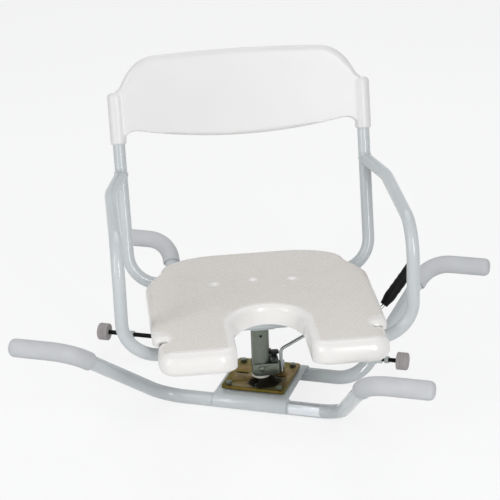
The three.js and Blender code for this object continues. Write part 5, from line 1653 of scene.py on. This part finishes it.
def black_moulded_grip():
    """Black polypropylene with a spark-eroded texture: matt black that shines a little where
    it turns away, with a fine even grain."""
    material, shader = new_material("black_moulded_grip", {
        "IOR": 1.45, "Specular IOR Level": 0.15, "Base Color": colour("#0a0a0b"),
    })
    coordinates = add_node(material, "ShaderNodeTexCoord", {}).outputs["Object"]
    grain_size = 0.7 * MM
    grain = add_node(material, "ShaderNodeTexNoise", {
        "Vector": coordinates, "Scale": 1 / grain_size, "Detail": 2.0,
    })
    bump = add_node(material, "ShaderNodeBump", {
        "Height": grain.outputs["Fac"], "Strength": 0.35, "Distance": 0.1 * MM,
    })
    shine = add_node(material, "ShaderNodeMapRange", {
        "Value": grain.outputs["Fac"], "To Min": 0.45, "To Max": 0.6,
    })
    set_sockets(material, shader, {
        "Roughness": shine.outputs["Result"],
        "Normal": bump.outputs["Normal"],
    })
    return material


def grip():
    """A turned handle with a neck, shallow finger grooves and a domed end."""
    profile = [(ROD_RADIUS + GAP, 0), (GRIP_NECK - GRIP_MOUTH_EDGE, 0), (GRIP_NECK, GRIP_MOUTH_EDGE)]
    neck_end, shoulder_start = GRIP_SHOULDER_HANDLES
    profile += bezier(profile[-1], (GRIP_NECK, neck_end), (GRIP_RADIUS, shoulder_start),
                      (GRIP_RADIUS, GRIP_FULL_FROM), 12)
    steps = 10
    for k in range(GRIP_GROOVES):
        for step in range(1, steps + 1):
            share = step / steps
            dip = GRIP_GROOVE_DEPTH * math.sin(math.pi * share) ** 2
            profile.append((GRIP_RADIUS - dip, GRIP_GROOVES_START + GRIP_GROOVE_LENGTH * (k + share)))
    dome_start = GRIP_LENGTH - GRIP_RADIUS * GRIP_DOME_SHARE
    for angle in quarter_turn(steps):
        profile.append((GRIP_RADIUS * math.cos(angle) ** GRIP_DOME_SHARE,
                        dome_start + (GRIP_LENGTH - dome_start) * math.sin(angle)))
    profile += [(0, GRIP_BORE), (ROD_RADIUS + GAP, GRIP_BORE)]
    return turned(profile, 64)


rise = math.radians(GRIP_RISE_DEGREES)
swing = math.radians(GRIP_SWING_DEGREES)
GRIP_ALONG = Vector((math.cos(rise) * math.cos(swing), math.cos(rise) * math.sin(swing), math.sin(rise)))
WRIST = Vector(ROD_CORNERS[-1])
ROD_END = WRIST + GRIP_ALONG * (GRIP_START + GRIP_BORE - GAP)
piece("yoke_strap", yoke(), DULL_ZINC, "lock_lever", ["lever_yoke"], SEAT_TURN)
for end_name, side_y in ENDS.items():
    out_to_side = Matrix.Translation((0, side_y * (YOKE_OUTER + GAP), PIVOT_HEIGHT))
    screw = moved(button_screw(YOKE_OUTER - POST_BORE),
                  out_to_side @ Matrix.Rotation(-side_y * math.pi / 2, 4, "X"))
    piece(f"pivot_screw_{end_name}", screw, DULL_ZINC, "turning_seat",
          [f"yoke_screw_{end_name}"], SEAT_TURN)
piece("tongue_plated", tongue(), CLEAR_ZINC, "lock_lever", ["lock_tongue"], SEAT_TURN)
rod = swept(bent_path([*ROD_CORNERS, ROD_END], ROD_RADII), ROD_RADIUS, 32)
piece("rod_bent", rod, CLEAR_ZINC, "lock_lever", ["lever_rod"], SEAT_TURN)
grip_turn = Vector((0, 0, 1)).rotation_difference(GRIP_ALONG).to_matrix().to_4x4()
grip_place = Matrix.Translation(WRIST + GRIP_ALONG * GRIP_START) @ grip_turn
piece("grip_moulded", moved(grip(), grip_place), black_moulded_grip(), "lock_lever",
      ["lever_grip"], SEAT_TURN)

# Lock spring and keeper
# A black coil spring stands on the yoke's tab and pushes down the nose. Its top is held by a
# small angle of blacked steel that is welded to the post.
SPRING_RADIUS = 4.3
WIRE_RADIUS = 1.0
SPRING_TURNS = 3
SPRING_STEPS = 32
SPRING_BOTTOM = 66.3
SPRING_TOP = 78.3
SPRING_X = 24
KEEPER_SHEET = 3
KEEPER_BOTTOM = 78.6
KEEPER_HALF_WIDTH = 8
KEEPER_FOOT = 6
KEEPER_NOSE = 33
KEEPER_SHELF_CORNER = 6
KEEPER_FOOT_CORNER = 0.8
KEEPER_EDGE = 0.4


def blacked_steel():
    """Blacked steel: a thin oxide under oil, nearly black, with a dark bronze shine."""
    material, shader = new_material("blacked_steel", {"Metallic": 0.7})
    coordinates = add_node(material, "ShaderNodeTexCoord", {}).outputs["Object"]
    cloud_size = 6 * MM
    clouds = add_node(material, "ShaderNodeTexNoise", {
        "Vector": coordinates, "Scale": 1 / cloud_size, "Detail": 3.0,
    })
    tint = add_node(material, "ShaderNodeMixRGB", {
        "Fac": clouds.outputs["Fac"], "Color1": colour("#101011"), "Color2": colour("#1f1f1c"),
    })
    shine = add_node(material, "ShaderNodeMapRange", {
        "Value": clouds.outputs["Fac"], "To Min": 0.4, "To Max": 0.58,
    })
    set_sockets(material, shader, {
        "Base Color": tint.outputs["Color"],
        "Roughness": shine.outputs["Result"],
    })
    return material


BLACKED_STEEL = blacked_steel()


def spring():
    """The helix, evenly wound from the tab to the keeper."""
    steps = SPRING_STEPS * SPRING_TURNS
    low = SPRING_BOTTOM + WIRE_RADIUS
    high = SPRING_TOP - WIRE_RADIUS
    points = []
    for k in range(steps + 1):
        angle = 2 * math.pi * k / SPRING_STEPS
        out = SPRING_X + SPRING_RADIUS * math.cos(angle)
        points.append(Vector((out, SPRING_RADIUS * math.sin(angle), low + (high - low) * k / steps)))
    path = [(point, (points[min(i + 1, steps)] - points[max(i - 1, 0)]).normalized())
            for i, point in enumerate(points)]
    return skin(rings_along(path, [WIRE_RADIUS] * len(path), 12))


def keeper():
    """A shelf over the spring and a short foot, both hollowed to fit the post."""
    length = KEEPER_NOSE - POST_RADIUS + CUT_PAST
    shelf = prism(rounded_rectangle(length, 2 * KEEPER_HALF_WIDTH, KEEPER_SHELF_CORNER),
                  KEEPER_BOTTOM, KEEPER_BOTTOM + KEEPER_SHEET)
    foot = prism(rounded_rectangle(KEEPER_SHEET, 2 * KEEPER_HALF_WIDTH, KEEPER_FOOT_CORNER, 4),
                 KEEPER_BOTTOM, KEEPER_BOTTOM + KEEPER_FOOT)
    hollowed = []
    foot_middle = POST_RADIUS + GAP + KEEPER_SHEET / 2
    for plate, middle_x in ((shelf, KEEPER_NOSE - length / 2), (foot, foot_middle)):
        plate = softened(moved(plate, Matrix.Translation((middle_x, 0, 0))), KEEPER_EDGE)
        round_post = prism(circle(POST_RADIUS + GAP / 2, steps=64), KEEPER_BOTTOM - CUT_PAST,
                           KEEPER_BOTTOM + KEEPER_FOOT + CUT_PAST)
        hollowed.append(carved(plate, round_post))
    return joined(hollowed)


wound = piece("spring_wound", spring(), BLACKED_STEEL, "lock_lever", ["lock_spring"],
              SEAT_TURN)
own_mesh(wound)
piece("keeper_angle", keeper(), BLACKED_STEEL, "turning_seat", ["spring_keeper"],
      SEAT_TURN)

# Stoppers
# Two threaded rods screw sideways through the rear bearer's bosses until their rubber pads
# press outwards and hold the base in place. A nut locks each one. The rods are blacked steel.
STOPPER_ROD_RADIUS = 4.25
STOPPER_ROD_LENGTH = 160
STOPPER_PITCH = 1.5
STOPPER_CAP_RADIUS = 16
STOPPER_CAP_LENGTH = 20
STOPPER_CAP_ROLL = 3
STOPPER_CAP_BACK_ROLL = 1.5
STOPPER_CAP_SOCKET = 13
STOPPER_CAP_MOUTH = 0.8
STOPPER_CAP_GROOVES = (6.5, 11.5)
STOPPER_GROOVE_DEPTH = 0.7
STOPPER_GROOVE_SECTION = ((-1.2, 0), (-0.6, 1), (0.6, 1), (1.2, 0))
STOPPER_NUT_HEX = 13
STOPPER_NUT_HEIGHT = 8
STOPPER_REACHES = {"left": (168.3, 98.3), "right": (68.3, 25.3)}


def moulded_rubber():
    """Grey moulded rubber: dead matt, with a slight bloom of wax and a fine pitted skin."""
    material, shader = new_material("moulded_rubber", {"IOR": 1.52, "Roughness": 0.78})
    coordinates = add_node(material, "ShaderNodeTexCoord", {}).outputs["Object"]
    bloom_size = 8 * MM
    bloom = add_node(material, "ShaderNodeTexNoise", {
        "Vector": coordinates, "Scale": 1 / bloom_size, "Detail": 5.0,
    })
    tint = add_node(material, "ShaderNodeMixRGB", {
        "Fac": bloom.outputs["Fac"], "Color1": colour("#9b9494"), "Color2": colour("#b3adac"),
    })
    pit_size = 0.8 * MM
    pits = add_node(material, "ShaderNodeTexNoise", {
        "Vector": coordinates, "Scale": 1 / pit_size, "Detail": 3.0,
    })
    bump = add_node(material, "ShaderNodeBump", {
        "Height": pits.outputs["Fac"], "Strength": 0.3, "Distance": 0.12 * MM,
    })
    set_sockets(material, shader, {
        "Base Color": tint.outputs["Color"],
        "Normal": bump.outputs["Normal"],
    })
    return material


RUBBER = moulded_rubber()


def stopper_cap(face):
    """A thick cup with a rolled rim, two shallow grooves round it and a socket for the rod."""
    back = face - STOPPER_CAP_LENGTH
    socket_floor = back + STOPPER_CAP_SOCKET
    bore = STOPPER_ROD_RADIUS + GAP
    back_roll = arc((back + STOPPER_CAP_BACK_ROLL, STOPPER_CAP_RADIUS - STOPPER_CAP_BACK_ROLL),
                    STOPPER_CAP_BACK_ROLL, 180, 90, 5)
    face_roll = arc((face - STOPPER_CAP_ROLL, STOPPER_CAP_RADIUS - STOPPER_CAP_ROLL),
                    STOPPER_CAP_ROLL, 90, 0, 8)
    grooves = [(back + groove + out, STOPPER_CAP_RADIUS - STOPPER_GROOVE_DEPTH * depth)
               for groove in STOPPER_CAP_GROOVES for out, depth in STOPPER_GROOVE_SECTION]
    profile = [(0, socket_floor), (bore, socket_floor), (bore, back + STOPPER_CAP_MOUTH),
               (bore + STOPPER_CAP_MOUTH, back)]
    profile += [(radius, height) for height, radius in [*back_roll, *grooves, *face_roll]]
    profile.append((0, face))
    return turned(profile)


for side_name, side_x in SIDES.items():
    pad_face, nut_face = (BOSS_X + reach for reach in STOPPER_REACHES[side_name])
    outward = Matrix.Rotation(0 if side_x > 0 else math.pi, 4, "Z") @ ALONG_X
    outward = Matrix.Translation((0, STOPPER_Y, BOSS_Z)) @ outward
    body = f"stopper_{side_name}"
    piece(f"stopper_pad_{side_name}", moved(stopper_cap(pad_face), outward), RUBBER, body,
          [f"stopper_cap_{side_name}"])
    rod_end = pad_face - STOPPER_CAP_LENGTH + STOPPER_CAP_SOCKET - GAP
    rod = threaded(STOPPER_ROD_RADIUS, STOPPER_PITCH, rod_end - STOPPER_ROD_LENGTH, rod_end)
    piece(f"stopper_screw_{side_name}", moved(rod, outward), BLACKED_STEEL, body,
          [f"stopper_rod_{side_name}"])
    lock_nut = nut(STOPPER_NUT_HEX, nut_face, STOPPER_NUT_HEIGHT, STOPPER_ROD_RADIUS + GAP)
    piece(f"lock_nut_{side_name}", moved(lock_nut, outward), CLEAR_ZINC, body,
          [f"stopper_nut_{side_name}"])

# Floor, light and camera
# A wide pale floor in a white room, soft light from large lamps, and a camera where the
# photograph's was. None of it is part of the seat.
FLOOR_RADIUS = 18
CAMERA_PLACE = (0.87034, -2.80958, 1.52489)
CAMERA_YAW_DEGREES = 17.437
CAMERA_PITCH_DEGREES = -22.961
CAMERA_ROLL_DEGREES = -2.150
CAMERA_LENS = 132.75
SENSOR_WIDTH = 36
LAMP_AIM = (0, 0, 0.25)
LAMPS = {
    "lamp_front_left": {"place": (-1.5, -2.2, 1.7), "width": 0.9, "height": 2.4, "watts": 28},
    "lamp_front_right": {"place": (1.9, -2.2, 1.7), "width": 0.4, "height": 2.4, "watts": 46},
    "lamp_above": {"place": (-0.3, 1.3, 2.3), "width": 1.8, "height": 1.8, "watts": 14},
}
FLOOR_WHITENESS = 0.8
ROOM_STRENGTH = 0.38


def seen_directly(owner):
    """1 for what the camera sees of a surface, by itself or in something shiny or clear."""
    rays = add_node(owner, "ShaderNodeLightPath", {})
    seen = rays.outputs["Is Camera Ray"]
    for ray in ("Is Glossy Ray", "Is Transmission Ray"):
        either = add_node(owner, "ShaderNodeMath", {
            0: seen, 1: rays.outputs[ray],
        }, operation="MAXIMUM")
        seen = either.outputs["Value"]
    return seen


def pale_paper():
    """Matt white paper. What the camera and the shiny pieces see of it is most of the way to
    plain white, and it still shows the seat's shadow."""
    material, shader = new_material("pale_paper", {"Base Color": colour("#f3f4f4"), "Roughness": 0.9})
    whiteness = add_node(material, "ShaderNodeMapRange", {
        "Value": seen_directly(material), "To Max": FLOOR_WHITENESS,
    })
    white = add_node(material, "ShaderNodeEmission", {"Color": (1, 1, 1, 1), "Strength": 1.0})
    mixed = add_node(material, "ShaderNodeMixShader", {
        "Fac": whiteness.outputs["Result"], 1: shader.outputs["BSDF"], 2: white.outputs["Emission"],
    })
    output = next(node for node in material.node_tree.nodes if node.type == "OUTPUT_MATERIAL")
    set_sockets(material, output, {"Surface": mixed.outputs["Shader"]})
    return material


def floor():
    mesh = bmesh.new()
    mesh.faces.new([mesh.verts.new((x, y, 0)) for x, y in circle(FLOOR_RADIUS, steps=96)])
    data = bpy.data.meshes.new("floor")
    mesh.to_mesh(data)
    mesh.free()
    data.materials.append(pale_paper())
    made = bpy.data.objects.new("floor", data)
    bpy.context.scene.collection.objects.link(made)
    return made


def soft_lamp(name, place, width, height, watts):
    """A soft box. A tall narrow one draws long bright lines down the upright tubes."""
    data = bpy.data.lights.new(name, "AREA")
    data.shape = "RECTANGLE"
    data.size = width
    data.size_y = height
    data.energy = watts
    made = bpy.data.objects.new(name, data)
    made.location = place
    made.rotation_euler = (Vector(LAMP_AIM) - Vector(place)).to_track_quat("-Z", "Y").to_euler()
    bpy.context.scene.collection.objects.link(made)


floor()
for lamp_name, lamp in LAMPS.items():
    soft_lamp(lamp_name, **lamp)
world = bpy.data.worlds.new("soft_room")
world.use_nodes = True
brightness = add_node(world, "ShaderNodeMapRange", {
    "Value": seen_directly(world), "To Min": ROOM_STRENGTH, "To Max": 1.0,
})
set_sockets(world, world.node_tree.nodes["Background"], {
    "Color": colour("#f2f5f7"), "Strength": brightness.outputs["Result"],
})
bpy.context.scene.world = world
bpy.context.scene.view_settings.view_transform = "Standard"

yaw = math.radians(CAMERA_YAW_DEGREES)
pitch = math.radians(CAMERA_PITCH_DEGREES)
roll = math.radians(CAMERA_ROLL_DEGREES)
forward = Vector((-math.sin(yaw) * math.cos(pitch), math.cos(yaw) * math.cos(pitch), math.sin(pitch)))
level_right = Vector((math.cos(yaw), math.sin(yaw), 0))
level_up = level_right.cross(forward)
right = level_right * math.cos(roll) + level_up * math.sin(roll)
up = level_up * math.cos(roll) - level_right * math.sin(roll)
camera_data = bpy.data.cameras.new("camera")
camera_data.lens = CAMERA_LENS
camera_data.sensor_width = SENSOR_WIDTH
camera = bpy.data.objects.new("camera", camera_data)
facing = Matrix((right, up, -forward)).transposed().to_4x4()
camera.matrix_world = Matrix.Translation(CAMERA_PLACE) @ facing
bpy.context.scene.collection.objects.link(camera)
bpy.context.scene.camera = camera
